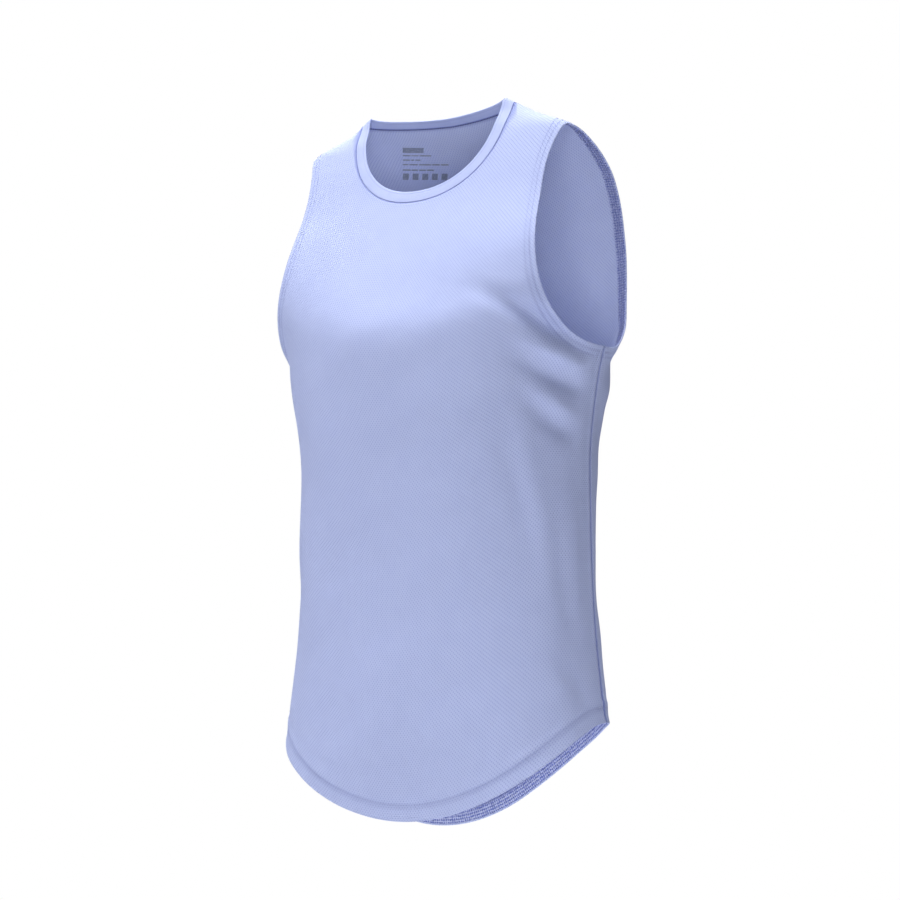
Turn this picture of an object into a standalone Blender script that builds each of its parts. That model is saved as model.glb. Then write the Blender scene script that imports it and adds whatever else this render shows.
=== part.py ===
"""Running singlet, filled out as on a wearer, in thin faceted walls of knitted cloth.

Metres, +Z up, +X to the wearer's left and +Y to the wearer's back. The origin is midway between
the two high shoulder points, where the neckline meets the shoulder seams. Sizes in the tables are
in millimetres and are turned into metres only where a mesh is made.

Every piece lies on one surface, the torso form: a stack of level rings whose front and back halves
are superellipses. A place on it is an angle round the ring and a height. The angle is 0 at the
wearer's left side, 90 degrees at the middle of the front or of the back, and 180 degrees at the
wearer's right side.
"""

from typing import NamedTuple

import bmesh
import bpy
import numpy as np

MM = 0.001

# ---- the torso form -------------------------------------------------------------------------


class Ring(NamedTuple):
    """One level ring of the form, in mm."""

    drop: float  # below the high shoulder points
    half_width: float
    front_depth: float  # from the ring's middle line to the front
    back_depth: float  # from the ring's middle line to the back
    middle: float  # y of the ring's middle line
    front_power: float  # of the front half's superellipse: 2 is an ellipse, more is squarer
    back_power: float  # of the back half's


TORSO = (
    Ring(0, 84, 5, 2, 2, 2.55, 2.2),
    Ring(4, 93, 8, 7, 3, 2.55, 2.2),
    Ring(15, 114, 17, 28, 7, 2.55, 2.5),
    Ring(32.5, 155, 21, 46, 4, 2.55, 3.2),
    Ring(58, 181, 33, 61, 7, 2.55, 3.8),
    Ring(97.5, 213, 51, 77, 12, 2.55, 3.5),
    Ring(142, 221, 72, 87, 15, 3.2, 3.0),
    Ring(192, 209, 96, 92, 19, 2.65, 2.6),
    Ring(242, 183, 118, 100, 23, 2.2, 2.35),
    Ring(302, 168, 115, 98, 24, 2.35, 2.2),
    Ring(362, 161, 107, 87, 24, 2.45, 2.2),
    Ring(432, 161, 100, 79, 24, 2.55, 2.2),
    Ring(502, 163, 97, 75, 24, 2.55, 2.2),
    Ring(572, 170, 96, 74, 23, 2.55, 2.2),
    Ring(642, 181, 94, 71, 21, 2.55, 2.2),
    Ring(725, 205, 87, 72, 20, 2.55, 2.2),
)

# ---- the cut ---------------------------------------------------------------------------------

NECK_POINT_DROP = 4.0  # where the binding's seam crosses the shoulder, below the binding's own top
SHOULDER_TIP_DROP = 32.5
UNDERARM_DROP = 250.0
SIDE_SEAM_END_DROP = 613.0
SEAM_ANGLE_AT_HEM = 7.6  # degrees that the side seam drifts to the back on its way down


class Neckline(NamedTuple):
    """Seam of the neck binding across one panel."""

    drop: float
    side_power: float  # how upright the sides are
    base_power: float  # how flat the bottom is


class Armhole(NamedTuple):
    """Armhole edge of one panel, seen square on."""

    narrowest: float  # half width of the panel where the armhole bites deepest
    bend: float  # share of the armhole's height at which its curved lower part ends
    power: float  # roundness of the lower part


class Hem(NamedTuple):
    """Shirt-tail hem of one panel."""

    tail: float  # how far the middle hangs below the side seams' ends
    power: float
    swing: float  # over 1, the lowest point hangs toward the wearer's right


class Panel(NamedTuple):
    """One cut piece of the body, and the edges it is cut to."""

    name: str
    side: int  # -1 front, +1 back
    neckline: Neckline
    armhole: Armhole
    hem: Hem


FRONT = Panel("front_panel", -1, Neckline(100, 2.1, 2.3), Armhole(145, 0.76, 1.5), Hem(94, 2.5, 0.97))
BACK = Panel("back_panel", 1, Neckline(11, 1.4, 1.7), Armhole(168, 0.78, 2.25), Hem(108, 1.85, 1.36))

# ---- cloth -----------------------------------------------------------------------------------

WALL = 1.2
SEAM_GAP = 0.3
ARMHOLE_HEM_WIDTH = 13.0
BOTTOM_HEM_WIDTH = 18.0
TURNED_WALL = 1.1  # the layer turned in at an edge
BINDING_WIDTH = 12.0
BINDING_WALL = 2.0
BINDING_LIFT = 0.03  # how much the binding stands up from the line of the panel
NECK_SLOPE_DROP = 8.0  # the binding's slope at the shoulder is read over this much of the seam
# How far out of the cloth's middle the turned layer's two faces lie: they are inside it.
TURNED_LAYERS = (-WALL / 2 - SEAM_GAP, -WALL / 2 - SEAM_GAP - TURNED_WALL)


class Fold(NamedTuple):
    """A soft trough or ridge along a straight line on the form."""

    side: int  # -1 front, +1 back
    start_angle: float  # degrees
    start_drop: float
    end_angle: float
    end_drop: float
    width: float
    height: float  # out of the cloth, below 0 for a trough


FOLDS = (
    Fold(-1, 49, 215, 6, 265, 12, -4.5),
    Fold(-1, 47, 241, 6, 277, 11, 2.5),
    Fold(-1, 43, 271, 8, 297, 13, -3.5),
    Fold(-1, 39, 303, 12, 343, 13, -3.0),
    Fold(-1, 54, 291, 36, 445, 17, -3.5),
    Fold(-1, 44, 301, 24, 495, 18, 3.0),
    Fold(-1, 30, 540, 6, 599, 18, -3.0),
    Fold(-1, 132, 217, 170, 267, 13, -3.0),
    Fold(-1, 128, 295, 150, 415, 18, -2.0),
    Fold(-1, 139, 325, 158, 495, 18, 1.5),
    Fold(-1, 94, 535, 102, 685, 34, 3.0),
    Fold(1, 42, 227, 8, 277, 15, -4.0),
    Fold(1, 140, 231, 170, 281, 15, -4.0),
    Fold(1, 50, 325, 34, 515, 24, -4.0),
    Fold(1, 128, 335, 144, 535, 24, -4.0),
    Fold(1, 88, 465, 92, 685, 34, 3.5),
)
FOLD_RADIUS = 150.0  # turns an angle round the form into a distance
SEAM_CALM = 12.0  # degrees from a side seam within which folds die away

# ---- mesh ------------------------------------------------------------------------------------

NECK_CELLS = 14
SHOULDER_CELLS = 3
SIDE_ROWS = 16
ARMHOLE_ROWS = 13
BINDING_CELLS = 2
FINE = 241  # points on a curve before it is divided evenly
EVENING_ROUNDS = 60  # passes that spread a panel's places evenly between its edges
EVENING_STEP = 0.6
SAME_POINT = 0.0005
SHARP_EDGE = 50.0  # degrees


class Look(NamedTuple):
    """Colour, as linear red, green and blue, and roughness of a piece."""

    colour: tuple[float, float, float]
    roughness: float


KNIT_LOOK = Look((0.47, 0.53, 0.84), 0.75)
RIB_LOOK = Look((0.52, 0.59, 0.88), 0.7)
TURNED_LOOK = Look((0.40, 0.46, 0.76), 0.8)


def curve_through(stations: np.ndarray, values: np.ndarray, at: np.ndarray) -> np.ndarray:
    """Smooth curve through a table's rows, with no overshoot between them."""
    gaps = np.diff(stations)
    slopes = np.diff(values) / gaps
    lead, trail = 2 * gaps[1:] + gaps[:-1], gaps[1:] + 2 * gaps[:-1]
    same_way = slopes[:-1] * slopes[1:] > 0
    safe = np.where(same_way[:, None], np.stack([slopes[:-1], slopes[1:]], 1), 1.0)
    inner = np.where(same_way, (lead + trail) / (lead / safe[:, 0] + trail / safe[:, 1]), 0.0)
    tangents = np.concatenate([slopes[:1], inner, slopes[-1:]])
    k = np.clip(np.searchsorted(stations, at, side="right") - 1, 0, len(gaps) - 1)
    t = (at - stations[k]) / gaps[k]
    return (
        values[k] * (1 + 2 * t) * (1 - t) ** 2
        + gaps[k] * tangents[k] * t * (1 - t) ** 2
        + values[k + 1] * t**2 * (3 - 2 * t)
        + gaps[k] * tangents[k + 1] * t**2 * (t - 1)
    )


RINGS = np.array(TORSO, float).T


def ring_sizes(z: np.ndarray) -> tuple[np.ndarray, ...]:
    """Half width, front and back depth, middle line, and front and back power at a height."""
    return tuple(curve_through(RINGS[0], column, -z) for column in RINGS[1:])


def form_point(side: int, angle: np.ndarray, z: np.ndarray) -> np.ndarray:
    """Point of the form at an angle (radians) across a panel's side and a height.

    An angle below 0 or over pi runs on to the other side of the form.
    """
    width, front, back, middle, *powers = ring_sizes(z)
    turned = side * np.sin(angle)
    power = np.where(turned < 0, *powers)
    depth = np.where(turned < 0, front, back)
    reach = (np.abs(np.cos(angle)) ** power + np.abs(turned) ** power) ** (-1 / power)
    return np.stack([width * reach * np.cos(angle), middle + depth * reach * turned, z + 0 * angle], -1)


TABLE_STEP = 5.0
TABLE_LEVELS = np.arange(0, -TORSO[-1].drop, -TABLE_STEP)
TABLE_ANGLES = np.radians(np.linspace(-15, 90, 106))


def angle_at(side: int, x: np.ndarray, z: np.ndarray) -> np.ndarray:
    """Angle of the form's point that lies x to the wearer's left, for x of 0 or more."""
    width, *_, front_power, back_power = ring_sizes(z)
    power = front_power if side < 0 else back_power
    share = np.clip(x / width, 0, 1)
    return np.arctan2((1 - share**power) ** (1 / power), share)


def form_slopes(side: int, angle: np.ndarray, z: np.ndarray) -> tuple[np.ndarray, np.ndarray]:
    """How the form's point moves per radian and per mm of height."""
    turn, rise = 0.002, 0.5
    top = np.minimum(z + rise, 0.0)
    around = form_point(side, angle + turn, z) - form_point(side, angle - turn, z)
    upward = form_point(side, angle, top) - form_point(side, angle, top - 2 * rise)
    return around / (2 * turn), upward / (2 * rise)


def unit(vectors: np.ndarray) -> np.ndarray:
    return vectors / np.linalg.norm(vectors, axis=-1, keepdims=True)


def fold_height(side: int, angle: np.ndarray, z: np.ndarray) -> np.ndarray:
    """Sum of the folds: each is a bell across its line, which swells and dies away along it."""
    total = np.zeros(np.broadcast(angle, z).shape)
    for fold in FOLDS:
        if fold.side != side:
            continue
        start = np.array([np.radians(fold.start_angle) * FOLD_RADIUS, -fold.start_drop])
        along = np.array([np.radians(fold.end_angle) * FOLD_RADIUS, -fold.end_drop]) - start
        offset = np.stack([angle * FOLD_RADIUS - start[0], z - start[1]], -1)
        share = (offset @ along) / (along @ along)
        across = (offset[..., 0] * along[1] - offset[..., 1] * along[0]) / np.linalg.norm(along)
        swell = np.sin(np.pi * np.clip((share + 0.15) / 1.3, 0, 1)) ** 2
        total += fold.height * swell * np.exp(-((across / fold.width) ** 2))
    from_seam = np.minimum(np.abs(angle), np.abs(np.pi - angle))
    return total * np.clip(from_seam / np.radians(SEAM_CALM), 0, 1) ** 2


def form_normal(side: int, angle: np.ndarray, z: np.ndarray) -> np.ndarray:
    """Unit vectors square to the form, pointing out of it."""
    return side * unit(np.cross(*form_slopes(side, angle, z)))


def cloth_point(side: int, angle: np.ndarray, z: np.ndarray, out: float = 0.0) -> np.ndarray:
    """Point of the cloth's middle surface, or one moved out of it."""
    lift = fold_height(side, angle, z) + out
    return form_point(side, angle, z) + form_normal(side, angle, z) * lift[..., None]


# ---- the cloth laid flat -----------------------------------------------------------------------


def flat_table(side: int) -> np.ndarray:
    """Distance round the cloth from a panel's middle, a row for each level, a column for each angle."""
    angle, z = np.meshgrid(TABLE_ANGLES, TABLE_LEVELS)
    ring = form_point(side, angle, z)
    steps = np.linalg.norm(np.diff(ring, axis=1), axis=-1)
    from_middle = np.cumsum(steps[:, ::-1], axis=1)[:, ::-1]
    return np.concatenate([from_middle, np.zeros((len(z), 1))], axis=1)


FLAT = {side: flat_table(side) for side in (-1, 1)}


def table_rows(side: int, z: np.ndarray) -> np.ndarray:
    """Rows of the flat table at any heights."""
    place = np.clip(-z / TABLE_STEP, 0, len(TABLE_LEVELS) - 1.001)
    level = place.astype(int)
    share = (place - level)[..., None]
    table = FLAT[side]
    return table[level] * (1 - share) + table[level + 1] * share


def laid_flat(side: int, places: np.ndarray) -> np.ndarray:
    """Places of (angle, z) as (distance from the panel's middle, z), positive to the wearer's left."""
    angle, z = places.reshape(-1, 2).T
    far = angle > np.pi / 2
    near = np.where(far, np.pi - angle, angle)
    distance = [np.interp(a, TABLE_ANGLES, row) for a, row in zip(near, table_rows(side, z))]
    return np.stack([np.where(far, -1, 1) * distance, z], -1).reshape(places.shape)


def wrapped(side: int, flat: np.ndarray) -> np.ndarray:
    """The reverse of laid_flat."""
    distance, z = flat.reshape(-1, 2).T
    near = [
        np.interp(d, row[::-1], TABLE_ANGLES[::-1]) for d, row in zip(np.abs(distance), table_rows(side, z))
    ]
    return np.stack([np.where(distance < 0, np.pi - np.array(near), near), z], -1).reshape(flat.shape)


# ---- edges of a panel, each an array of (angle, z) ---------------------------------------------


def divide(side: int, curve: np.ndarray, cells: int) -> np.ndarray:
    """The same curve in even steps."""
    steps = np.linalg.norm(np.diff(form_point(side, curve[:, 0], curve[:, 1]), axis=0), axis=1)
    length = np.concatenate([[0], np.cumsum(steps)])
    wanted = np.linspace(0, length[-1], cells + 1)
    return np.stack([np.interp(wanted, length, column) for column in curve.T], -1)


def rightward(side: int, curve: np.ndarray) -> np.ndarray:
    """Unit vectors in the form's surface, square to the curve. They point to the right of its way,
    where the angle runs to the right and the height upward."""
    angle, z = curve.T
    normal = unit(np.cross(*form_slopes(side, angle, z)))
    return unit(np.cross(np.gradient(form_point(side, angle, z), axis=0), normal))


def inset(side: int, curve: np.ndarray, distance: float) -> np.ndarray:
    """The curve moved across the form, square to itself, to its right."""
    around, upward = form_slopes(side, *curve.T)
    move = rightward(side, curve) * distance
    aa, au, uu = (np.sum(p * q, -1) for p, q in ((around, around), (around, upward), (upward, upward)))
    ma, mu = np.sum(move * around, -1), np.sum(move * upward, -1)
    spread = aa * uu - au**2
    return curve + np.stack([(ma * uu - mu * au) / spread, (mu * aa - ma * au) / spread], -1)


def mirrored(curve: np.ndarray) -> np.ndarray:
    """The same places on the wearer's other side."""
    return curve * [-1, 1] + [np.pi, 0]


def seam_angle(side: int, z: np.ndarray) -> np.ndarray:
    """Angle of the side seam, the same line seen from the front panel or the back panel."""
    share = np.clip((-z - UNDERARM_DROP) / (SIDE_SEAM_END_DROP - UNDERARM_DROP), 0, 1)
    return side * np.radians(SEAM_ANGLE_AT_HEM) * share


def shoulder_line(cells: int) -> np.ndarray:
    """Shoulder seam, from the inner edge of the armhole's hem to the neck binding's seam."""
    z = np.linspace(-SHOULDER_TIP_DROP, -NECK_POINT_DROP, FINE)
    ridge = form_point(-1, 0 * z, z)
    clear = np.linalg.norm(ridge - ridge[0], axis=1) >= ARMHOLE_HEM_WIDTH
    return divide(-1, np.stack([0 * z, z], -1)[clear], cells)


def neck_line(panel: Panel, cells: int) -> np.ndarray:
    """Neckline seam, from the wearer's left to right."""
    turn = np.linspace(0, np.pi / 2, FINE)
    x = ring_sizes(-np.array(NECK_POINT_DROP))[0] * np.cos(turn) ** (2 / panel.neckline.side_power)
    fall = (panel.neckline.drop - NECK_POINT_DROP) * np.sin(turn) ** (2 / panel.neckline.base_power)
    z = -NECK_POINT_DROP - fall
    half = np.stack([angle_at(panel.side, x, z), z], -1)
    half[0, 0] = 0
    return divide(panel.side, np.concatenate([half, mirrored(half)[-2::-1]]), cells)


def armhole_line(panel: Panel, cells: int) -> np.ndarray:
    """Armhole edge, from the underarm to the shoulder tip."""
    cut = panel.armhole
    bend = (UNDERARM_DROP - SHOULDER_TIP_DROP) * cut.bend
    turn = np.linspace(0, np.pi / 2, FINE)
    under, tip = ring_sizes(np.array([-UNDERARM_DROP, -SHOULDER_TIP_DROP]))[0]
    low_x = cut.narrowest + (under - cut.narrowest) * (1 - np.sin(turn) ** (2 / cut.power))
    low_z = -UNDERARM_DROP + bend * (1 - np.cos(turn) ** (2 / cut.power))
    rest = np.linspace(0, 1, FINE)[1:]
    high_x = cut.narrowest + (tip - cut.narrowest) * rest**2
    high_z = low_z[-1] + (-SHOULDER_TIP_DROP - low_z[-1]) * rest
    x, z = np.concatenate([low_x, high_x]), np.concatenate([low_z, high_z])
    angle = angle_at(panel.side, x, z)
    angle[[0, -1]] = 0
    return divide(panel.side, np.stack([angle, z], -1), cells)


def hem_line(panel: Panel, cells: int) -> np.ndarray:
    """Bottom edge, from the wearer's left to right, lowest near the middle."""
    share = np.linspace(0, 1, FINE)
    z = -SIDE_SEAM_END_DROP - panel.hem.tail * np.sin(np.pi * share**panel.hem.swing) ** panel.hem.power
    seam = seam_angle(panel.side, -np.array(SIDE_SEAM_END_DROP))
    return divide(panel.side, np.stack([seam + (np.pi - 2 * seam) * share, z], -1), cells)


def panel_places(panel: Panel) -> np.ndarray:
    """Grid of (angle, z): rows from the hem up, columns from the wearer's left to right.

    The lowest row and the outer columns are one turned hem wide, and the turned hems share their
    points. Between them the places are spread evenly over the cloth laid flat.
    """
    shoulder = shoulder_line(SHOULDER_CELLS)
    neck = neck_line(panel, NECK_CELLS)
    top = np.concatenate([shoulder, neck[1:-1], mirrored(shoulder)[::-1]])
    hem = hem_line(panel, len(top) + 1)
    bottom = inset(panel.side, hem, -BOTTOM_HEM_WIDTH)[1:-1]

    seam_foot = -SIDE_SEAM_END_DROP + BOTTOM_HEM_WIDTH
    seam_z = np.linspace(seam_foot, -UNDERARM_DROP - ARMHOLE_HEM_WIDTH, SIDE_ROWS)
    climb = (seam_z - seam_foot) / (-UNDERARM_DROP - seam_foot)
    inner_z = bottom[0, 1] + climb * (seam_z[-1] - bottom[0, 1])
    _, front, back, *_ = ring_sizes(seam_z[-1])
    inward = ARMHOLE_HEM_WIDTH / (front if panel.side < 0 else back)
    first_in = bottom[0, 0] - seam_angle(panel.side, bottom[0, 1])
    inner_angle = seam_angle(panel.side, inner_z) + first_in + climb * (inward - first_in)
    armhole = armhole_line(panel, ARMHOLE_ROWS)
    armhole_inner = inset(panel.side, armhole, ARMHOLE_HEM_WIDTH)
    armhole_inner[0] = inward, seam_z[-1]
    armhole_inner[-1] = shoulder[0]
    side = np.concatenate([np.stack([seam_angle(panel.side, seam_z), seam_z], -1), armhole])
    left = np.concatenate([np.stack([inner_angle, inner_z], -1), armhole_inner])
    right = mirrored(left)
    right[0] = bottom[-1]

    edges = (laid_flat(panel.side, edge) for edge in (left, right, bottom, top))
    inner = wrapped(panel.side, evened(blended(*edges)))
    inner[0], inner[-1], inner[:, 0], inner[:, -1] = bottom, top, left, right
    rows = np.concatenate([side[:, None], inner, mirrored(side)[:, None]], 1)
    return np.concatenate([hem[None], rows])


def blended(left: np.ndarray, right: np.ndarray, bottom: np.ndarray, top: np.ndarray) -> np.ndarray:
    """Grid between four edges: both straight blends of opposite edges, less that of the corners."""
    u = np.linspace(0, 1, len(top))[None, :, None]
    v = np.linspace(0, 1, len(left))[:, None, None]
    across = (1 - u) * left[:, None] + u * right[:, None]
    upward = (1 - v) * bottom + v * top
    corners = (1 - v) * ((1 - u) * bottom[0] + u * bottom[-1]) + v * ((1 - u) * top[0] + u * top[-1])
    return across + upward - corners


def evened(grid: np.ndarray) -> np.ndarray:
    """The grid with its inner points drawn toward their neighbours, so that no cell is pinched.

    Each pass is one step toward the map whose rows and columns spread like lines of even flow:
    rows pull as hard as the columns are long, and the other way round, less their slant.
    """
    made = grid.copy()
    for _ in range(EVENING_ROUNDS):
        middle = made[1:-1, 1:-1]
        along, up = (made[1:-1, 2:] - made[1:-1, :-2]) / 2, (made[2:, 1:-1] - made[:-2, 1:-1]) / 2
        length, height, slant = (
            np.sum(p * q, -1, keepdims=True) for p, q in ((along, along), (up, up), (along, up))
        )
        twist = (made[2:, 2:] - made[2:, :-2] - made[:-2, 2:] + made[:-2, :-2]) / 4
        in_row = height * (made[1:-1, 2:] + made[1:-1, :-2])
        in_column = length * (made[2:, 1:-1] + made[:-2, 1:-1])
        wanted = (in_row + in_column - 2 * slant * twist) / (2 * (length + height))
        made[1:-1, 1:-1] = middle + EVENING_STEP * (wanted - middle)
    return made


# ---- solids ----------------------------------------------------------------------------------

UNDERARM_ROW = SIDE_ROWS + 1


def make_material(name: str, look: Look) -> bpy.types.Material:
    made = bpy.data.materials.new(name)
    made.use_nodes = True
    shader = made.node_tree.nodes["Principled BSDF"]
    shader.inputs["Base Color"].default_value = (*look.colour, 1)
    shader.inputs["Roughness"].default_value = look.roughness
    shader.inputs["Metallic"].default_value = 0
    return made


def add_piece(name: str, points: np.ndarray, faces: list, look: Look) -> None:
    """A smooth-shaded object from points in mm, with its own material."""
    mesh = bpy.data.meshes.new(name)
    mesh.from_pydata((points.reshape(-1, 3) * MM).tolist(), [], faces)
    work = bmesh.new()
    work.from_mesh(mesh)
    bmesh.ops.remove_doubles(work, verts=work.verts, dist=SAME_POINT * MM)
    work.to_mesh(mesh)
    work.free()
    mesh.materials.append(make_material(name + "_cloth", look))
    mesh.shade_smooth()
    mesh.set_sharp_from_angle(angle=np.radians(SHARP_EDGE))
    made = bpy.data.objects.new(name, mesh)
    bpy.context.scene.collection.objects.link(made)


def flipped(face: list) -> list:
    """The face turned over, with the same first corner, so that it is cut along the same diagonal."""
    return [face[0], *face[:0:-1]]


def wall_faces(outer: np.ndarray, inner: np.ndarray, leaning: np.ndarray, closed: bool) -> list:
    """Faces of the wall between two grids of point numbers, the outer one facing out.

    A four-sided cell is cut in two from its first corner. That is the one of its own row and
    column, or the next column's where the cell is leaning. A closed wall's last row joins its first.
    """
    if closed:
        outer, inner = (np.concatenate([grid, grid[:1]]) for grid in (outer, inner))
    rows, columns = outer.shape
    faces = []
    for j in range(rows - 1):
        for i in range(columns - 1):
            corners = [(j, i), (j, i + 1), (j + 1, i + 1), (j + 1, i)]
            if leaning[j, i]:
                corners = corners[1:] + corners[:1]
            faces.append([int(outer[c]) for c in corners])
            faces.append(flipped([int(inner[c]) for c in corners]))
    right = [(j, columns - 1) for j in range(rows)]
    left = [(j, 0) for j in reversed(range(rows))]
    if closed:
        rims = [right, left]
    else:
        lower = [(0, i) for i in range(columns)]
        upper = [(rows - 1, i) for i in reversed(range(columns))]
        rims = [lower, right, upper, left]
    for rim in rims:
        for here, there in zip(rim, rim[1:]):
            faces.append([int(outer[there]), int(outer[here]), int(inner[here]), int(inner[there])])
    return faces


def add_wall(
    name: str,
    layers: list[np.ndarray],
    leaning: np.ndarray,
    look: Look,
    closed: bool = False,
    turned: bool = False,
) -> None:
    """A wall between an outer and an inner grid of points. A turned one runs the other way round."""
    numbers = np.arange(2 * layers[0][..., 0].size).reshape(2, *layers[0].shape[:2])
    faces = wall_faces(*numbers, leaning, closed)
    if turned:
        faces = [flipped(face) for face in faces]
    add_piece(name, np.stack(layers), faces, look)


def right_half(rows: int, columns: int) -> np.ndarray:
    """Cells of a panel nearer the wearer's right side, which lean so that both sides are cut alike:
    from a cell's lower corner by the armhole to its upper corner by the middle."""
    return np.tile(np.arange(columns - 1) >= (columns - 1) // 2, (rows - 1, 1))


def clear_of_seams(panel: Panel, points: np.ndarray) -> np.ndarray:
    """The panel's points with those on its side and shoulder seams set back into the panel."""
    step = panel.side * SEAM_GAP / 2
    moved = points.copy()
    moved[: UNDERARM_ROW + 1, [0, -1], 1] += step
    moved[-1, : SHOULDER_CELLS + 2, 1] += step
    moved[-1, -SHOULDER_CELLS - 2 :, 1] += step
    return moved


def build_panel(panel: Panel, places: np.ndarray) -> None:
    """Front or back: one wall over the whole grid."""
    layers = [
        clear_of_seams(panel, cloth_point(panel.side, places[..., 0], places[..., 1], out))
        for out in (WALL / 2, -WALL / 2)
    ]
    leaning = right_half(*places.shape[:2])
    add_wall(panel.name, layers, leaning, KNIT_LOOK, turned=panel.side < 0)


def build_bottom_hem(panel: Panel, places: np.ndarray) -> None:
    """The layer turned in along the bottom edge, inside the panel's lowest row."""
    strip = places[:2]
    layers = [cloth_point(panel.side, strip[..., 0], strip[..., 1], out) for out in TURNED_LAYERS]
    for points in layers:
        points[:, [0, -1], 1] += panel.side * SEAM_GAP / 2
    name = panel.name.replace("panel", "bottom_hem")
    leaning = right_half(*strip.shape[:2])
    add_wall(name, layers, leaning, TURNED_LOOK, turned=panel.side < 0)


def build_armhole_hem(name: str, front: np.ndarray, back: np.ndarray, turned: bool) -> None:
    """The layer turned in round one armhole, down the front strip and up the back one.

    Each strip is two columns of places, edge and inner line, from the row below the underarm up.
    At the underarm the strips end in a mitre, which the side seam's own places close.
    """
    layers = []
    for out in TURNED_LAYERS:
        down = cloth_point(-1, front[..., 0], front[..., 1], out)
        up = cloth_point(1, back[..., 0], back[..., 1], out)
        seam = np.stack([down[1, 0], down[0, 0]])
        layers.append(np.concatenate([down[:0:-1], seam[None], up[1:-1]]))
    leaning = np.zeros((len(layers[0]), 1), bool)
    leaning[: len(front) - 1] = True
    add_wall(name, layers, leaning, TURNED_LOOK, closed=True, turned=turned)


def build_binding() -> None:
    """Neck binding: a folded strip that runs on from the panels' neckline and stands up a little.

    It is as thin as the panels at the seam and as thick as both its layers from there on.
    """
    front, back = (neck_line(panel, NECK_CELLS) for panel in (FRONT, BACK))
    ring = np.concatenate([cloth_point(-1, *front.T), cloth_point(1, *back[-2:0:-1].T)])
    inward = np.concatenate([-rightward(-1, front), -rightward(1, back)[-2:0:-1]])
    shoulder = cloth_point(-1, np.zeros(2), -NECK_POINT_DROP - np.array([NECK_SLOPE_DROP, 0.0]))
    slope = unit(shoulder[1] - shoulder[0])
    inward[0] = slope
    inward[NECK_CELLS] = slope * [-1, 1, 1]
    inward = unit(inward + [0, 0, BINDING_LIFT])
    normal = np.concatenate([form_normal(-1, *front.T), form_normal(1, *back[-2:0:-1].T)])
    normal = unit(normal - inward * np.sum(normal * inward, -1, keepdims=True))
    widths = SEAM_GAP + np.linspace(0, BINDING_WIDTH, BINDING_CELLS + 1)
    middle = ring[:, None] + inward[:, None] * widths[:, None]
    half_wall = np.array([WALL] + [BINDING_WALL] * BINDING_CELLS)[:, None] / 2
    layers = [middle + normal[:, None] * half_wall * way for way in (1, -1)]
    leaning = np.zeros((len(ring), BINDING_CELLS), bool)
    add_wall("neck_binding", layers, leaning, RIB_LOOK, closed=True)


def main() -> None:
    """Clears the scene and builds the garment's seven pieces."""
    for left_over in list(bpy.data.objects):
        bpy.data.objects.remove(left_over, do_unlink=True)
    front, back = panel_places(FRONT), panel_places(BACK)
    for panel, places in ((FRONT, front), (BACK, back)):
        build_panel(panel, places)
        build_bottom_hem(panel, places)
    left, right = [0, 1], [-1, -2]
    build_armhole_hem("armhole_hem_left", front[SIDE_ROWS:, left], back[SIDE_ROWS:, left], False)
    build_armhole_hem("armhole_hem_right", front[SIDE_ROWS:, right], back[SIDE_ROWS:, right], True)
    build_binding()


main()
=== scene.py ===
"""Looks of a running singlet: knitted panels, turned hems, neck binding, threads and inside print.

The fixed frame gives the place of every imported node, and the fine pieces here stand for them.
Sizes are in millimetres and become metres only where a mesh is made. +Z is up, +X is the wearer's
left and +Y the wearer's back. The origin is midway between the two high shoulder points.

Every piece lies on one surface, the torso form: a stack of level rings whose front and back halves
are superellipses. A place on it is an angle round the ring and a height z. The angle is 0 at the
wearer's left side, 90 degrees at the middle of the front or back, and 180 degrees at the right.
"""

import logging
from dataclasses import dataclass, replace
from enum import Enum
from functools import cached_property

import bpy
import numpy as np
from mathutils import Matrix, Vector


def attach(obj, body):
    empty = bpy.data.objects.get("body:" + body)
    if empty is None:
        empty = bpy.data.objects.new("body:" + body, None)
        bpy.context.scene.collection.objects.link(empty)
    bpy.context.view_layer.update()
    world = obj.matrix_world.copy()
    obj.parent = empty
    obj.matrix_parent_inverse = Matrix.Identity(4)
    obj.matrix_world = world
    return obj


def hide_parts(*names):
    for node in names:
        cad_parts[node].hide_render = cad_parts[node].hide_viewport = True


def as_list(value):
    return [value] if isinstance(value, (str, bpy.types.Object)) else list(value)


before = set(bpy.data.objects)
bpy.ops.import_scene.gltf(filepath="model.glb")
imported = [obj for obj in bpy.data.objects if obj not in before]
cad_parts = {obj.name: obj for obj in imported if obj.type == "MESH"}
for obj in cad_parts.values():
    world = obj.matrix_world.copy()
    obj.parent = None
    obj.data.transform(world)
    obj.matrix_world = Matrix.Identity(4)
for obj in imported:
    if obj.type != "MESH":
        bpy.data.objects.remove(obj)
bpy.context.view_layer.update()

LOG = logging.getLogger("singlet")
Array = np.ndarray
Sizes = tuple[float, ...]
Piece, Material, Socket = bpy.types.Object, bpy.types.Material, bpy.types.NodeSocket
MM = 0.001


class Side(Enum):
    """The half of the garment that a panel covers; the value is the way that y grows out of it."""

    FRONT = -1
    BACK = 1


class Arm(Enum):
    """The wearer's arm that an armhole is for; the value ends the names of its pieces."""

    LEFT = "left"
    RIGHT = "right"


# ---- small working functions ----


def unit(vectors: Array) -> Array:
    """The vectors at length one."""
    return vectors / np.maximum(np.linalg.norm(vectors, axis=-1, keepdims=True), 1e-12)


def eased(x: Array, low: float, high: float) -> Array:
    """Rises from 0 at low to 1 at high as 3t^2 - 2t^3, level at both ends."""
    t = np.clip((x - low) / (high - low), 0, 1)
    return t * t * (3 - 2 * t)


def bell(x: Array, centre: float, width: float) -> Array:
    """Bell curve exp(-((x - centre) / width)^2)."""
    return np.exp(-(((x - centre) / width) ** 2))


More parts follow.
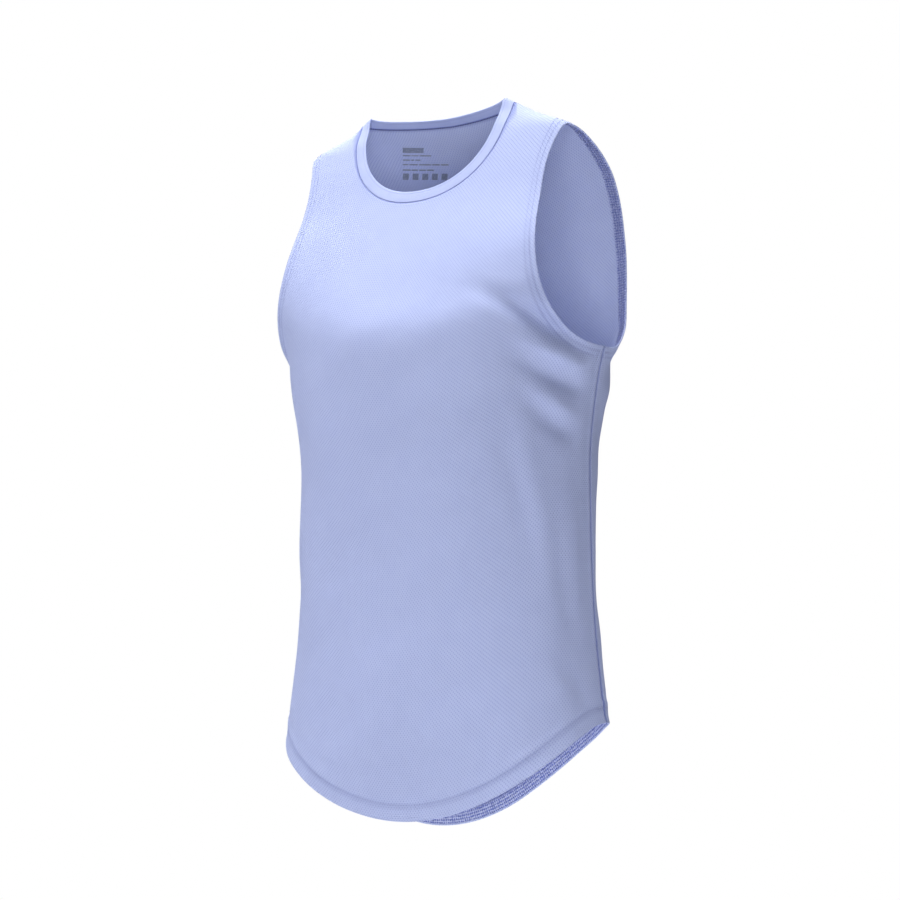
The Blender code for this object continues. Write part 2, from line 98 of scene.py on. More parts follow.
def curve_through(stations: Array, values: Array, at: Array) -> Array:
    """Cubic through a table's rows that never swings past them.

    Each row's slope is the weighted harmonic mean of the slopes on its two sides, or 0 at a peak.

    Args:
        stations: where the rows stand, rising.
        values: what the rows say.
        at: where to read the curve.

    Returns:
        The curve's values there.
    """
    gaps = np.diff(stations)
    slopes = np.diff(values) / gaps
    lead, trail = 2 * gaps[1:] + gaps[:-1], gaps[1:] + 2 * gaps[:-1]
    same_way = slopes[:-1] * slopes[1:] > 0
    safe = np.where(same_way[:, None], np.stack([slopes[:-1], slopes[1:]], 1), 1.0)
    inner = np.where(same_way, (lead + trail) / (lead / safe[:, 0] + trail / safe[:, 1]), 0.0)
    tangents = np.concatenate([slopes[:1], inner, slopes[-1:]])
    k = np.clip(np.searchsorted(stations, at, side="right") - 1, 0, len(gaps) - 1)
    t = (at - stations[k]) / gaps[k]
    return (
        values[k] * (1 + 2 * t) * (1 - t) ** 2
        + gaps[k] * tangents[k] * t * (1 - t) ** 2
        + values[k + 1] * t**2 * (3 - 2 * t)
        + gaps[k] * tangents[k + 1] * t**2 * (t - 1)
    )


def length_along(points: Array) -> Array:
    """Running length of a line of points, from 0 at its first point."""
    return np.concatenate([[0], np.cumsum(np.linalg.norm(np.diff(points, axis=0), axis=1))])


def resampled(points: Array, values: Array, wanted: Array) -> Array:
    """Values held along a line of points, read at the wanted lengths along it."""
    length = length_along(points)
    return np.stack([np.interp(wanted, length, column) for column in values.T], -1)


def softened(values: Array, reach: float, closed: bool) -> Array:
    """Rows of values averaged with their neighbours under a bell of the given reach, in rows."""
    half = int(3 * reach) + 1
    weights = np.exp(-0.5 * (np.arange(-half, half + 1) / reach) ** 2)
    padded = np.pad(values, [(half, half), (0, 0)], mode="wrap" if closed else "edge")
    columns = [np.convolve(column, weights / weights.sum(), "valid") for column in padded.T]
    return np.stack(columns, -1)


def even(count: int) -> Array:
    """Shares from 0 to 1 in even steps."""
    return np.linspace(0, 1, count + 1)


def held_back(stops: Array, short: float) -> Array:
    """Shares drawn in so that they start and end this much short of 0 and 1."""
    return short + (1 - 2 * short) * stops


def numbered(*shape: int) -> Array:
    """Point numbers of a grid of this shape, row by row."""
    return np.arange(np.prod(shape)).reshape(shape)


def strip_grain(across: Array, along: Array) -> Array:
    """Metres across and along a strip, at every pairing of two sets of distances in mm."""
    return np.stack(np.broadcast_arrays(across, along[..., None]), -1) * MM


# ---- the torso form ----


@dataclass(frozen=True)
class TorsoForm:
    """The surface that the cloth hangs on.

    Attributes:
        rings: drop below the shoulder points, half width, front depth, back depth, the y of the
            middle line, and the superellipse powers of the front and of the back, where 2 is an
            ellipse and more is squarer, one row for each level ring.
        ring_step: drop between the levels of the softened table.
        calm_drops: from where to where down the form the softening comes in.
        reach: drop over which the rings are softened into each other.
    """

    rings: tuple[Sizes, ...] = (
        (0, 84, 5, 2, 2, 2.55, 2.2),
        (4, 93, 8, 7, 3, 2.55, 2.2),
        (15, 114, 17, 28, 7, 2.55, 2.5),
        (32.5, 155, 21, 46, 4, 2.55, 3.2),
        (58, 181, 33, 61, 7, 2.55, 3.8),
        (97.5, 213, 51, 77, 12, 2.55, 3.5),
        (142, 221, 72, 87, 15, 3.2, 3.0),
        (192, 209, 96, 92, 19, 2.65, 2.6),
        (242, 183, 118, 100, 23, 2.2, 2.35),
        (302, 168, 115, 98, 24, 2.35, 2.2),
        (362, 161, 107, 87, 24, 2.45, 2.2),
        (432, 161, 100, 79, 24, 2.55, 2.2),
        (502, 163, 97, 75, 24, 2.55, 2.2),
        (572, 170, 96, 74, 23, 2.55, 2.2),
        (642, 181, 94, 71, 21, 2.55, 2.2),
        (725, 205, 87, 72, 20, 2.55, 2.2),
    )
    ring_step: float = 3.0
    calm_drops: tuple[float, float] = (30.0, 90.0)
    reach: float = 13.0

    @cached_property
    def table(self) -> Array:
        """Drop and the six sizes at close levels, with the corners between rings softened.

        The monotone curve through the rings is averaged under a bell, whose share grows from
        nothing at the neck to all of it further down.
        """
        known = np.array(self.rings, float).T
        drops = np.arange(0, known[0, -1] + self.ring_step, self.ring_step)
        sizes = np.stack([curve_through(known[0], column, drops) for column in known[1:]], -1)
        calm = softened(sizes, self.reach / self.ring_step, closed=False)
        last = drops[-1] - 3 * self.reach
        share = eased(drops, *self.calm_drops) * (1 - eased(drops, last, drops[-1]))
        return np.column_stack([drops, sizes + share[:, None] * (calm - sizes)]).T

    def sizes(self, z: Array) -> tuple[Array, ...]:
        """Half width, front depth, back depth, middle line and the two powers at a height."""
        return tuple(curve_through(self.table[0], column, -z) for column in self.table[1:])

    def point(self, side: Side, angle: Array, z: Array) -> Array:
        """Point of the form: the ring's superellipse at an angle across one side.

        The point is reach * (width cos a, depth sin a) with reach = (|cos a|^n + |sin a|^n)^(-1/n).
        An angle below 0 or over pi runs on to the other side.

        Args:
            side: front or back.
            angle: radians from the wearer's left.
            z: height.

        Returns:
            The points, with x, y and z last.
        """
        width, front, back, middle, *powers = self.sizes(z)
        turned = side.value * np.sin(angle)
        power = np.where(turned < 0, *powers)
        depth = np.where(turned < 0, front, back)
        reach = (np.abs(np.cos(angle)) ** power + np.abs(turned) ** power) ** (-1 / power)
        x, y = width * reach * np.cos(angle), middle + depth * reach * turned
        return np.stack([x, y, z + 0 * angle], -1)

    def slopes(self, side: Side, angle: Array, z: Array) -> tuple[Array, Array]:
        """How the form's point moves per radian and per mm of height."""
        turn, rise = 0.002, 0.5
        top = np.minimum(z + rise, 0.0)
        around = self.point(side, angle + turn, z) - self.point(side, angle - turn, z)
        upward = self.point(side, angle, top) - self.point(side, angle, top - 2 * rise)
        return around / (2 * turn), upward / (2 * rise)

    def normal(self, side: Side, angle: Array, z: Array) -> Array:
        """Unit vectors square to the form, pointing out of it."""
        return side.value * unit(np.cross(*self.slopes(side, angle, z)))

    def angle_at(self, side: Side, x: Array, z: Array) -> Array:
        """Angle of the point that lies x to the wearer's left, for x of 0 or more."""
        sizes = self.sizes(z)
        power = sizes[4] if side is Side.FRONT else sizes[5]
        share = np.clip(x / sizes[0], 0, 1)
        return np.arctan2((1 - share**power) ** (1 / power), share)

    def divide(self, side: Side, curve: Array, stops: Array) -> Array:
        """A curve of (angle, z) read at shares of its length, from 0 to 1."""
        points = self.point(side, *curve.T)
        return resampled(points, curve, stops * length_along(points)[-1])

    def rightward(self, side: Side, curve: Array) -> Array:
        """Unit vectors in the surface, square to the curve and to the right of its way.

        The angle is taken to run to the right and the height upward.
        """
        normal = unit(np.cross(*self.slopes(side, *curve.T)))
        return unit(np.cross(np.gradient(self.point(side, *curve.T), axis=0), normal))

    def inset(self, side: Side, curve: Array, distance: float) -> Array:
        """The curve moved over the form, square to itself, to its right.

        The move is solved as a sum of the two slopes, by the two-by-two normal equations.

        Args:
            side: front or back.
            curve: places of (angle, z).
            distance: how far, below 0 for the left.

        Returns:
            The moved places.
        """
        around, upward = self.slopes(side, *curve.T)
        move = self.rightward(side, curve) * distance
        pairs = ((around, around), (around, upward), (upward, upward))
        aa, au, uu = (np.sum(p * q, -1) for p, q in pairs)
        ma, mu = np.sum(move * around, -1), np.sum(move * upward, -1)
        spread = aa * uu - au**2
        return curve + np.stack([(ma * uu - mu * au) / spread, (mu * aa - ma * au) / spread], -1)


def mirrored(curve: Array) -> Array:
    """The same places of (angle, z) on the wearer's other side."""
    return curve * [-1, 1] + [np.pi, 0]


# ---- how the cloth drapes ----


@dataclass(frozen=True)
class Fold:
    """A soft trough or ridge along a gently bowed line on the form.

    Attributes:
        side: front or back.
        start: angle in degrees and drop where it begins.
        end: the same where it dies away.
        width: half width of its bell.
        height: out of the cloth, below 0 for a trough.
        bow: how far its middle lies to the left of the straight line.
    """

    side: Side
    start: tuple[float, float]
    end: tuple[float, float]
    width: float
    height: float
    bow: float = 0.0


@dataclass(frozen=True)
class Wave:
    """A slow swell all over a panel.

    Attributes:
        length: from crest to crest.
        slant: radians that its way is turned from level.
        phase: radians that it is moved along.
        height: of a crest.
    """

    length: float
    slant: float
    phase: float
    height: float


FRONT_FOLDS = (
    ((63, 198), (14, 258), 8, -10.5, -1),
    ((50, 238), (3, 276), 7, 4.4, -5),
    ((46, 264), (2, 296), 9, -5.6, -5),
    ((38, 290), (8, 322), 8, 2.6, -4),
    ((42, 302), (8, 342), 11, -3.8, -5),
    ((52, 300), (37, 470), 15, -3.2, 6),
    ((42, 312), (27, 520), 15, 3.2, 5),
    ((28, 420), (14, 560), 16, -1.8, 0),
    ((31, 540), (3, 598), 16, -3.2, -6),
    ((132, 217), (170, 267), 13, -3.0, 5),
    ((128, 295), (150, 415), 18, -2.0, 0),
    ((139, 325), (158, 495), 18, 1.5, 0),
    ((94, 535), (102, 685), 34, 3.0, 0),
)
BACK_FOLDS = (
    ((42, 227), (8, 277), 12, -4.0, -6),
    ((46, 262), (10, 300), 11, 1.8, -5),
    ((140, 231), (170, 281), 12, -4.0, 6),
    ((136, 262), (172, 300), 11, 1.6, 5),
    ((50, 325), (34, 515), 24, -4.0, 6),
    ((128, 335), (144, 535), 24, -4.0, -6),
    ((88, 465), (92, 685), 34, 3.5, 0),
)
FOLDS = tuple(Fold(Side.FRONT, *row) for row in FRONT_FOLDS)
FOLDS += tuple(Fold(Side.BACK, *row) for row in BACK_FOLDS)
WAVES = (
    Wave(150, 0.35, 0.4, 0.8),
    Wave(118, -0.8, 2.1, 0.6),
    Wave(74, 1.3, 4.0, 0.32),
    Wave(61, -0.2, 1.2, 0.25),
    Wave(43, 0.9, 5.3, 0.12),
)


@dataclass(frozen=True)
class Drape:
    """How far the cloth stands off the form, from its folds and slow waves.

    Attributes:
        radius: turns an angle round the form into a distance.
        seam_calm: degrees from a side seam within which folds die away.
        wave_drops: from where to where down the form the slow waves come in.
        back_phase: radians that the waves are moved along on the back.
        run_out: how far a fold's swell runs on past each end, as a share of its length.
    """

    radius: float = 150.0
    seam_calm: float = 12.0
    wave_drops: tuple[float, float] = (60.0, 240.0)
    back_phase: float = 1.7
    run_out: float = 0.15

    def fold(self, shape: Fold, angle: Array, z: Array) -> Array:
        """Height of one fold: a bell across its line times a swell, sin^2, along it.

        The line is a straight run bowed sideways by 4 s (1 - s) of its bow at share s.
        """
        start, end = (
            np.array([np.radians(at[0]) * self.radius, -at[1]]) for at in (shape.start, shape.end)
        )
        along = end - start
        offset = np.stack([angle * self.radius - start[0], z - start[1]], -1)
        share = (offset @ along) / (along @ along)
        across = (offset[..., 0] * along[1] - offset[..., 1] * along[0]) / np.linalg.norm(along)
        across = across - shape.bow * 4 * share * (1 - share)
        eased_share = np.clip((share + self.run_out) / (1 + 2 * self.run_out), 0, 1)
        return shape.height * np.sin(np.pi * eased_share) ** 2 * bell(across, 0, shape.width)

    def wave(self, wave: Wave, side: Side, x: Array, z: Array) -> Array:
        """Height of one wave: a sine of the distance along its slanted way."""
        along = np.cos(wave.slant) * x + np.sin(wave.slant) * z
        turn = 0.0 if side is Side.FRONT else self.back_phase
        return wave.height * np.sin(along * 2 * np.pi / wave.length + wave.phase + turn)

    def lift(self, side: Side, angle: Array, z: Array) -> Array:
        """Sum of the folds and waves, calmed toward the side seams and the shoulders."""
        folds = sum(self.fold(shape, angle, z) for shape in FOLDS if shape.side is side)
        waves = sum(self.wave(wave, side, angle * self.radius, z) for wave in WAVES)
        total = folds + waves * eased(-z, *self.wave_drops)
        from_seam = np.minimum(np.abs(angle), np.abs(np.pi - angle))
        return total * np.clip(from_seam / np.radians(self.seam_calm), 0, 1) ** 2


# ---- the cloth laid flat ----


@dataclass(frozen=True)
class FlatCloth:
    """One side's cloth laid flat: distance from the panel's middle line, and height up the cloth.

    Attributes:
        form: the surface it comes off.
        side: front or back.
        step: drop between the tables' levels.
        depth: drop of the lowest level.
        past_seam: degrees past the side seam that the tables run.
        columns: of the tables, two to a degree.
        shares: columns of the table that turns the flat cloth back.
    """

    form: TorsoForm
    side: Side
    step: float = 3.0
    depth: float = 727.0
    past_seam: float = 15.0
    columns: int = 211
    shares: int = 220

    @cached_property
    def angles(self) -> Array:
        """Angles of the tables' columns, a little past the side seam to the middle."""
        return np.radians(np.linspace(-self.past_seam, 90, self.columns))

    @cached_property
    def levels(self) -> Array:
        """Heights of the tables' rows."""
        return -np.arange(0, self.depth, self.step)

    @cached_property
    def around(self) -> Array:
        """Distance round the ring from the middle, a row for each level."""
        angle, z = np.meshgrid(self.angles, self.levels)
        steps = np.linalg.norm(np.diff(self.form.point(self.side, angle, z), axis=1), axis=-1)
        from_middle = np.cumsum(steps[:, ::-1], axis=1)[:, ::-1]
        return np.concatenate([from_middle, np.zeros((len(z), 1))], axis=1)

    @cached_property
    def upward(self) -> Array:
        """Distance up the cloth at a constant angle, from below the hem to each level."""
        angle, z = np.meshgrid(self.angles, self.levels)
        steps = np.linalg.norm(np.diff(self.form.point(self.side, angle, z), axis=0), axis=-1)
        fallen = np.concatenate([np.zeros((1, len(self.angles))), np.cumsum(steps, axis=0)])
        return fallen[-1, -1] - fallen

    @cached_property
    def angle_table(self) -> Array:
        """Angle at even shares of each level's whole distance, the reverse of around."""
        shares = np.linspace(0, 1, self.shares)
        rows = [np.interp(shares * row[0], row[::-1], self.angles[::-1]) for row in self.around]
        return np.array(rows)

    def read(self, table: Array, z: Array, column: Array) -> Array:
        """Table's value between its four nearest entries, at any height and column number."""
        last_row, last_column = (count - 1.001 for count in table.shape)
        row, column = np.clip(-z / self.step, 0, last_row), np.clip(column, 0, last_column)
        j, i = row.astype(int), column.astype(int)
        s, t = row - j, column - i
        lower = table[j, i] * (1 - t) + table[j, i + 1] * t
        upper = table[j + 1, i] * (1 - t) + table[j + 1, i + 1] * t
        return lower * (1 - s) + upper * s

    def column_of(self, angle: Array) -> Array:
        """Column number of an angle, or of its mirror image where it lies past the middle."""
        near = np.where(angle > np.pi / 2, np.pi - angle, angle)
        return (near - self.angles[0]) / (self.angles[1] - self.angles[0])

    def laid(self, places: Array) -> Array:
        """Places of (angle, z) as (distance from the middle, z), positive to the wearer's left."""
        angle, z = places[..., 0], places[..., 1]
        way = np.where(angle > np.pi / 2, -1, 1)
        return np.stack([way * self.read(self.around, z, self.column_of(angle)), z], -1)

    def wrapped(self, flat: Array) -> Array:
        """The reverse of laid."""
        distance, z = flat[..., 0], flat[..., 1]
        whole = self.read(self.around, z, np.zeros_like(z))
        share = np.abs(distance) / whole
        near = self.read(self.angle_table, z, share * (self.shares - 1))
        return np.stack([np.where(distance < 0, np.pi - near, near), z], -1)

    def grain(self, places: Array) -> Array:
        """Places of (angle, z) as metres across and up the cloth, which the knit follows."""
        across, z = self.laid(places)[..., 0], places[..., 1]
        up = self.read(self.upward, z, self.column_of(places[..., 0]))
        return np.stack([across, up], -1) * MM


# ---- meshes ----


def cells(numbers: Array) -> Array:
    """Four-sided faces of a grid of point numbers, turning from its rows toward its columns."""
    corners = (numbers[:-1, :-1], numbers[:-1, 1:], numbers[1:, 1:], numbers[1:, :-1])
    return np.stack(corners, -1).reshape(-1, 4)


def closed_rows(grid: Array) -> Array:
    """The grid with its first row again at its end."""
    return np.concatenate([grid, grid[:1]])


def closed_columns(grid: Array) -> Array:
    """The grid with its first column again at its end."""
    return np.concatenate([grid, grid[:, :1]], axis=1)


@dataclass
class Skin:
    """Points, faces and what each point carries, before they become a mesh.

    Attributes:
        points: in mm.
        faces: four point numbers each, or three and the first again.
        grain: metres across and along the cloth or thread at each point.
        shade: how deep in a seam or crease each point lies, from 0 to 1.
        inside: 1 on the cloth's inner face and 0 elsewhere, or None for 0 all over.
    """

    points: Array
    faces: Array
    grain: Array
    shade: Array
    inside: Array | None = None

    @staticmethod
    def joined(skins: list["Skin"]) -> "Skin":
        """All the skins as one."""
        starts = np.cumsum([0] + [len(skin.points) for skin in skins[:-1]])
        return Skin(
            np.concatenate([skin.points for skin in skins]),
            np.concatenate([skin.faces + start for skin, start in zip(skins, starts)]),
            np.concatenate([skin.grain for skin in skins]),
            np.concatenate([skin.shade for skin in skins]),
        )

    @staticmethod
    def carried_round(points: Array, grain: Array, shade: Array) -> "Skin":
        """A section carried along a path that meets itself, with its faces pointing out.

        Args:
            points: a row for each place on the path, a column for each point of the section.
            grain: metres across and along at each point.
            shade: how deep each point lies.

        Returns:
            The skin.
        """
        faces = cells(closed_columns(closed_rows(numbered(*points.shape[:2]))))
        skin = Skin(points.reshape(-1, 3), faces, grain.reshape(-1, 2), shade.reshape(-1))
        return skin.outward()

    def outward(self) -> "Skin":
        """The same skin with its faces turned over if the volume inside them is below 0."""
        a, b, c, d = (self.points[self.faces[:, k]] for k in range(4))
        halves = np.sum(a * np.cross(b, c), -1) + np.sum(a * np.cross(c, d), -1)
        return self if halves.sum() > 0 else replace(self, faces=self.faces[:, ::-1])

    def mesh(self, name: str) -> bpy.types.Mesh:
        """The skin as a smooth-shaded mesh in metres, with its grain and its two values."""
        mesh = bpy.data.meshes.new(name)
        short = self.faces[:, 3] == self.faces[:, 0]
        faces = [*self.faces[~short].tolist(), *self.faces[short, :3].tolist()]
        mesh.from_pydata((self.points * MM).tolist(), [], faces)
        corner = np.empty(len(mesh.loops), np.int64)
        mesh.loops.foreach_get("vertex_index", corner)
        grain = mesh.uv_layers.new(name="grain")
        grain.data.foreach_set("uv", self.grain[corner].astype(np.float32).ravel())
        inside = np.zeros(len(self.points)) if self.inside is None else self.inside
        for key, values in (("shade", self.shade), ("inside", inside)):
            layer = mesh.attributes.new(key, "FLOAT", "POINT")
            layer.data.foreach_set("value", values.astype(np.float32))
        mesh.shade_smooth()
        mesh.update()
        triangles = int(2 * (~short).sum() + short.sum())
        LOG.info("%s: %d points, %d triangles", name, len(self.points), triangles)
        return mesh

    def make(self, name: str, material: Material, slot: str, node: str | None = None) -> Piece:
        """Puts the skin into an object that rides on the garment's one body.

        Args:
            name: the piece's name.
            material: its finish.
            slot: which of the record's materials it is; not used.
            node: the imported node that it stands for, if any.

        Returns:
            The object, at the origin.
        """
        mesh = self.mesh(name)
        mesh.materials.append(material)
        made = bpy.data.objects.new(name, mesh)
        bpy.context.scene.collection.objects.link(made)
        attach(made, "root")
        if node:
            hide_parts(node)
        return made


def rim_numbers(numbers: Array) -> Array:
    """Point numbers round a grid's border: first row, last column, last row, first column."""
    sides = [numbers[0, :-1], numbers[:-1, -1], numbers[-1, :0:-1], numbers[:0:-1, 0]]
    return np.concatenate(sides)


def grid_normals(points: Array) -> Array:
    """Unit vectors square to a grid of points, from the cross product of its two directions."""
    return unit(np.cross(np.gradient(points, axis=1), np.gradient(points, axis=0)))


@dataclass(frozen=True)
class ClothShell:
    """A grid of cloth given its thickness, with edges that roll round to the inside.

    Attributes:
        thickness: between its two faces.
        roll: radius of the rolled edge.
        setback: gap left beyond the roll.
        rounds: steps round the roll.
        ease: how quickly the inside rises from the roll to the cloth's own thickness.
        corner_reach: border points over which the roll's two directions turn at a corner.
    """

    thickness: float = 0.85
    roll: float = 0.75
    setback: float = 0.1
    rounds: int = 5
    ease: float = 1.3
    corner_reach: tuple[float, float] = (1.0, 1.2)

    def build(self, outer: Array, ways: Array, grain: Array, shade: Array) -> Skin:
        """Closed skin round a sheet.

        The border points are set back by the roll. The edge then follows
        p = e + d r sin(t) - n r (1 - cos(t)) for t from 0 to half a turn, where e is the border,
        d points off the sheet and n out of it. The inside lies one thickness under the outside
        and eases to twice the roll at the border.

        Args:
            outer: grid of points of the outer face.
            ways: unit vectors out of the cloth there.
            grain: metres across and up the cloth at each point.
            shade: how deep each point lies.

        Returns:
            The skin.
        """
        numbers = numbered(*outer.shape[:2])
        rim = rim_numbers(numbers)
        points, flat_ways = outer.reshape(-1, 3).copy(), ways.reshape(-1, 3)
        n = unit(softened(flat_ways[rim], self.corner_reach[0], closed=True))
        off = self.off_sheet(points, numbers, n)
        back = points[rim] - off * (self.roll + self.setback)
        points[rim] = back
        turn = np.linspace(0, np.pi, self.rounds + 1)[1:, None, None]
        rolled = back + off * self.roll * np.sin(turn) - n * self.roll * (1 - np.cos(turn))
        near_edge = bell(self.steps_from_border(outer), 0, self.ease)
        depth = self.thickness + (2 * self.roll - self.thickness) * near_edge
        inner = points - flat_ways * depth.reshape(-1, 1)
        inner[rim] = rolled[-1]
        middle = rolled[:-1]
        middle_numbers = 2 * numbers.size + numbered(*middle.shape[:2])
        under = numbers + numbers.size
        band = np.concatenate([rim[None], middle_numbers, (rim + numbers.size)[None]])
        faces = [cells(numbers), cells(under)[:, ::-1], cells(closed_columns(band))[:, ::-1]]
        flat_grain, flat_shade = grain.reshape(-1, 2), shade.reshape(-1)
        skin = Skin(
            np.concatenate([points, inner, middle.reshape(-1, 3)]),
            np.concatenate(faces),
            np.concatenate([flat_grain, flat_grain, np.tile(flat_grain[rim], (len(middle), 1))]),
            np.concatenate([flat_shade, flat_shade, np.tile(flat_shade[rim], len(middle))]),
            np.repeat([0.0, 1.0, 0.0], [numbers.size, numbers.size, middle_numbers.size]),
        )
        return skin.outward()

    def off_sheet(self, points: Array, numbers: Array, n: Array) -> Array:
        """Unit vectors off the sheet at its border, square to the border and to the cloth.

        Args:
            points: of the sheet, row after row.
            numbers: grid of the point numbers.
            n: unit vectors out of the cloth at the border.

        Returns:
            A vector for each point of the border.
        """
        edge = points[rim_numbers(numbers)]
        off = unit(np.cross(n, np.roll(edge, -1, 0) - np.roll(edge, 1, 0)))
        inner_side = points[rim_numbers(self.stepped_in(numbers))] - edge
        off = off * -np.sign(np.sum(off * inner_side, -1, keepdims=True))
        return unit(softened(off, self.corner_reach[1], closed=True))

    @staticmethod
    def stepped_in(numbers: Array) -> Array:
        """Point numbers moved one place inward on the border, for the way off the sheet."""
        moved = numbers.copy()
        moved[0], moved[-1] = numbers[1], numbers[-2]
        moved[:, 0], moved[:, -1] = moved[:, 1], moved[:, -2]
        return moved

    @staticmethod
    def steps_from_border(points: Array) -> Array:
        """Distance along the grid's own lines from the nearest border, found side by side."""
        near = np.full(points.shape[:2], np.inf)
        for quarter in range(4):
            turned = np.rot90(points, quarter)
            steps = np.linalg.norm(np.diff(turned, axis=0), axis=-1)
            run = np.concatenate([np.zeros((1, turned.shape[1])), np.cumsum(steps, 0)])
            near = np.minimum(near, np.rot90(run, -quarter))
        return near


CAPSULE = (  # a stitch's rings: share along it, share of the thread's radius, share of the dip
    (0.0, 0.35, 1.0),
    (0.18, 0.85, 0.3),
    (0.5, 1.0, 0.0),
    (0.82, 0.85, 0.3),
    (1.0, 0.35, 1.0),
)


@dataclass(frozen=True)
class Thread:
    """A round thread carried along a path.

    Attributes:
        radius: of the thread.
        sides: of its cross-section.
    """

    radius: float = 0.3
    sides: int = 6

    @property
    def turns(self) -> Array:
        """Radians round the cross-section, one for each side."""
        return np.linspace(0, 2 * np.pi, self.sides, endpoint=False)

    def ring(self, side: Array, up: Array) -> Array:
        """Unit circles cos t * side + sin t * up, their points along the last axis but one."""
        turn = self.turns[:, None]
        return np.cos(turn) * side[..., None, :] + np.sin(turn) * up[..., None, :]

    def carried(self, path: Array, up: Array, closed: bool) -> Skin:
        """Tube along a path: centre + radius * (cos t * side + sin t * up) at each point.

        Args:
            path: points along the thread.
            up: which way is out of the cloth there.
            closed: whether the path's last point joins its first.

        Returns:
            The tube's skin, with closed ends.
        """
        along = np.roll(path, -1, 0) - np.roll(path, 1, 0) if closed else np.gradient(path, axis=0)
        along = unit(along)
        side = unit(np.cross(along, up))
        points = path[:, None] + self.radius * self.ring(side, np.cross(side, along))
        grain = strip_grain(self.turns * self.radius, length_along(path))
        if closed:
            return Skin.carried_round(points, grain, np.zeros(points.shape[:2]))
        numbers = numbered(*points.shape[:2])
        faces = [cells(closed_columns(numbers))]
        for row, middle in ((numbers[0], numbers.size), (numbers[-1][::-1], numbers.size + 1)):
            centre = np.full_like(row, middle)
            faces.append(np.stack([centre, np.roll(row, -1), row, centre], -1))
        flat = np.concatenate([points.reshape(-1, 3), path[[0, -1]]])
        grain = np.concatenate([grain.reshape(-1, 2), grain[[0, -1], 0]])
        return Skin(flat, np.concatenate(faces), grain, np.zeros(len(flat))).outward()

    def stitches(self, path: Array, up: Array, pitch: float, gap: float, sink: float) -> Skin:
        """A row of separate stitches along a path, each a short capsule that dips at its ends.

        A few rings make a capsule, narrower toward its ends, which lie below its middle.

        Args:
            path: points along the line of stitching, close together.
            up: which way is out of the cloth there.
            pitch: from stitch to stitch.
            gap: between one stitch's end and the next one's start.
            sink: how far the ends dip.

        Returns:
            One skin of all the stitches.
        """
        share, widths, dips = np.array(CAPSULE).T
        length = length_along(path)[-1]
        count = int(length // pitch)
        pitch = length / count
        at = np.arange(count)[:, None] * pitch + gap / 2 + share * (pitch - gap)
        centre, rise = (resampled(path, held, at.ravel()) for held in (path, up))
        centre, rise = centre.reshape(*at.shape, 3), unit(rise).reshape(*at.shape, 3)
        centre = centre - rise * (dips * sink)[:, None]
        side = unit(np.cross(unit(centre[:, -1:] - centre[:, :1]), rise))
        radii = (widths * self.radius)[:, None, None]
        points = centre[:, :, None] + radii * self.ring(side, rise)
        numbers = numbered(*points.shape[:3])
        around = np.concatenate([numbers, numbers[..., :1]], -1)
        corners = (around[:, :-1, :-1], around[:, :-1, 1:], around[:, 1:, 1:], around[:, 1:, :-1])
        faces = [np.stack(corners, -1).reshape(-1, 4)]
        for row, step in ((numbers[:, 0], -1), (numbers[:, -1], 1)):
            for k in range(self.sides // 2 - 1):
                quad = np.stack([row[:, k], row[:, k + 1], row[:, -k - 2], row[:, -k - 1]], -1)
                faces.append(quad[:, ::step])
        grain = strip_grain(self.turns * self.radius, at).reshape(-1, 2)
        skin = Skin(points.reshape(-1, 3), np.concatenate(faces), grain, np.zeros(numbers.size))
        return skin.outward()


# ---- the cut ----

FORM = TorsoForm()
DRAPE = Drape()
NECK_POINT_DROP = 4.0  # where the binding's seam crosses the shoulder
SHOULDER_TIP_DROP = 32.5
UNDERARM_DROP = 250.0
SIDE_SEAM_END_DROP = 613.0
SEAM_ANGLE_AT_HEM = 7.6  # degrees that the side seam drifts to the back on its way down
ARMHOLE_HEM_WIDTH = 13.0
BOTTOM_HEM_WIDTH = 18.0
FINE = 961  # points on a curve before it is divided


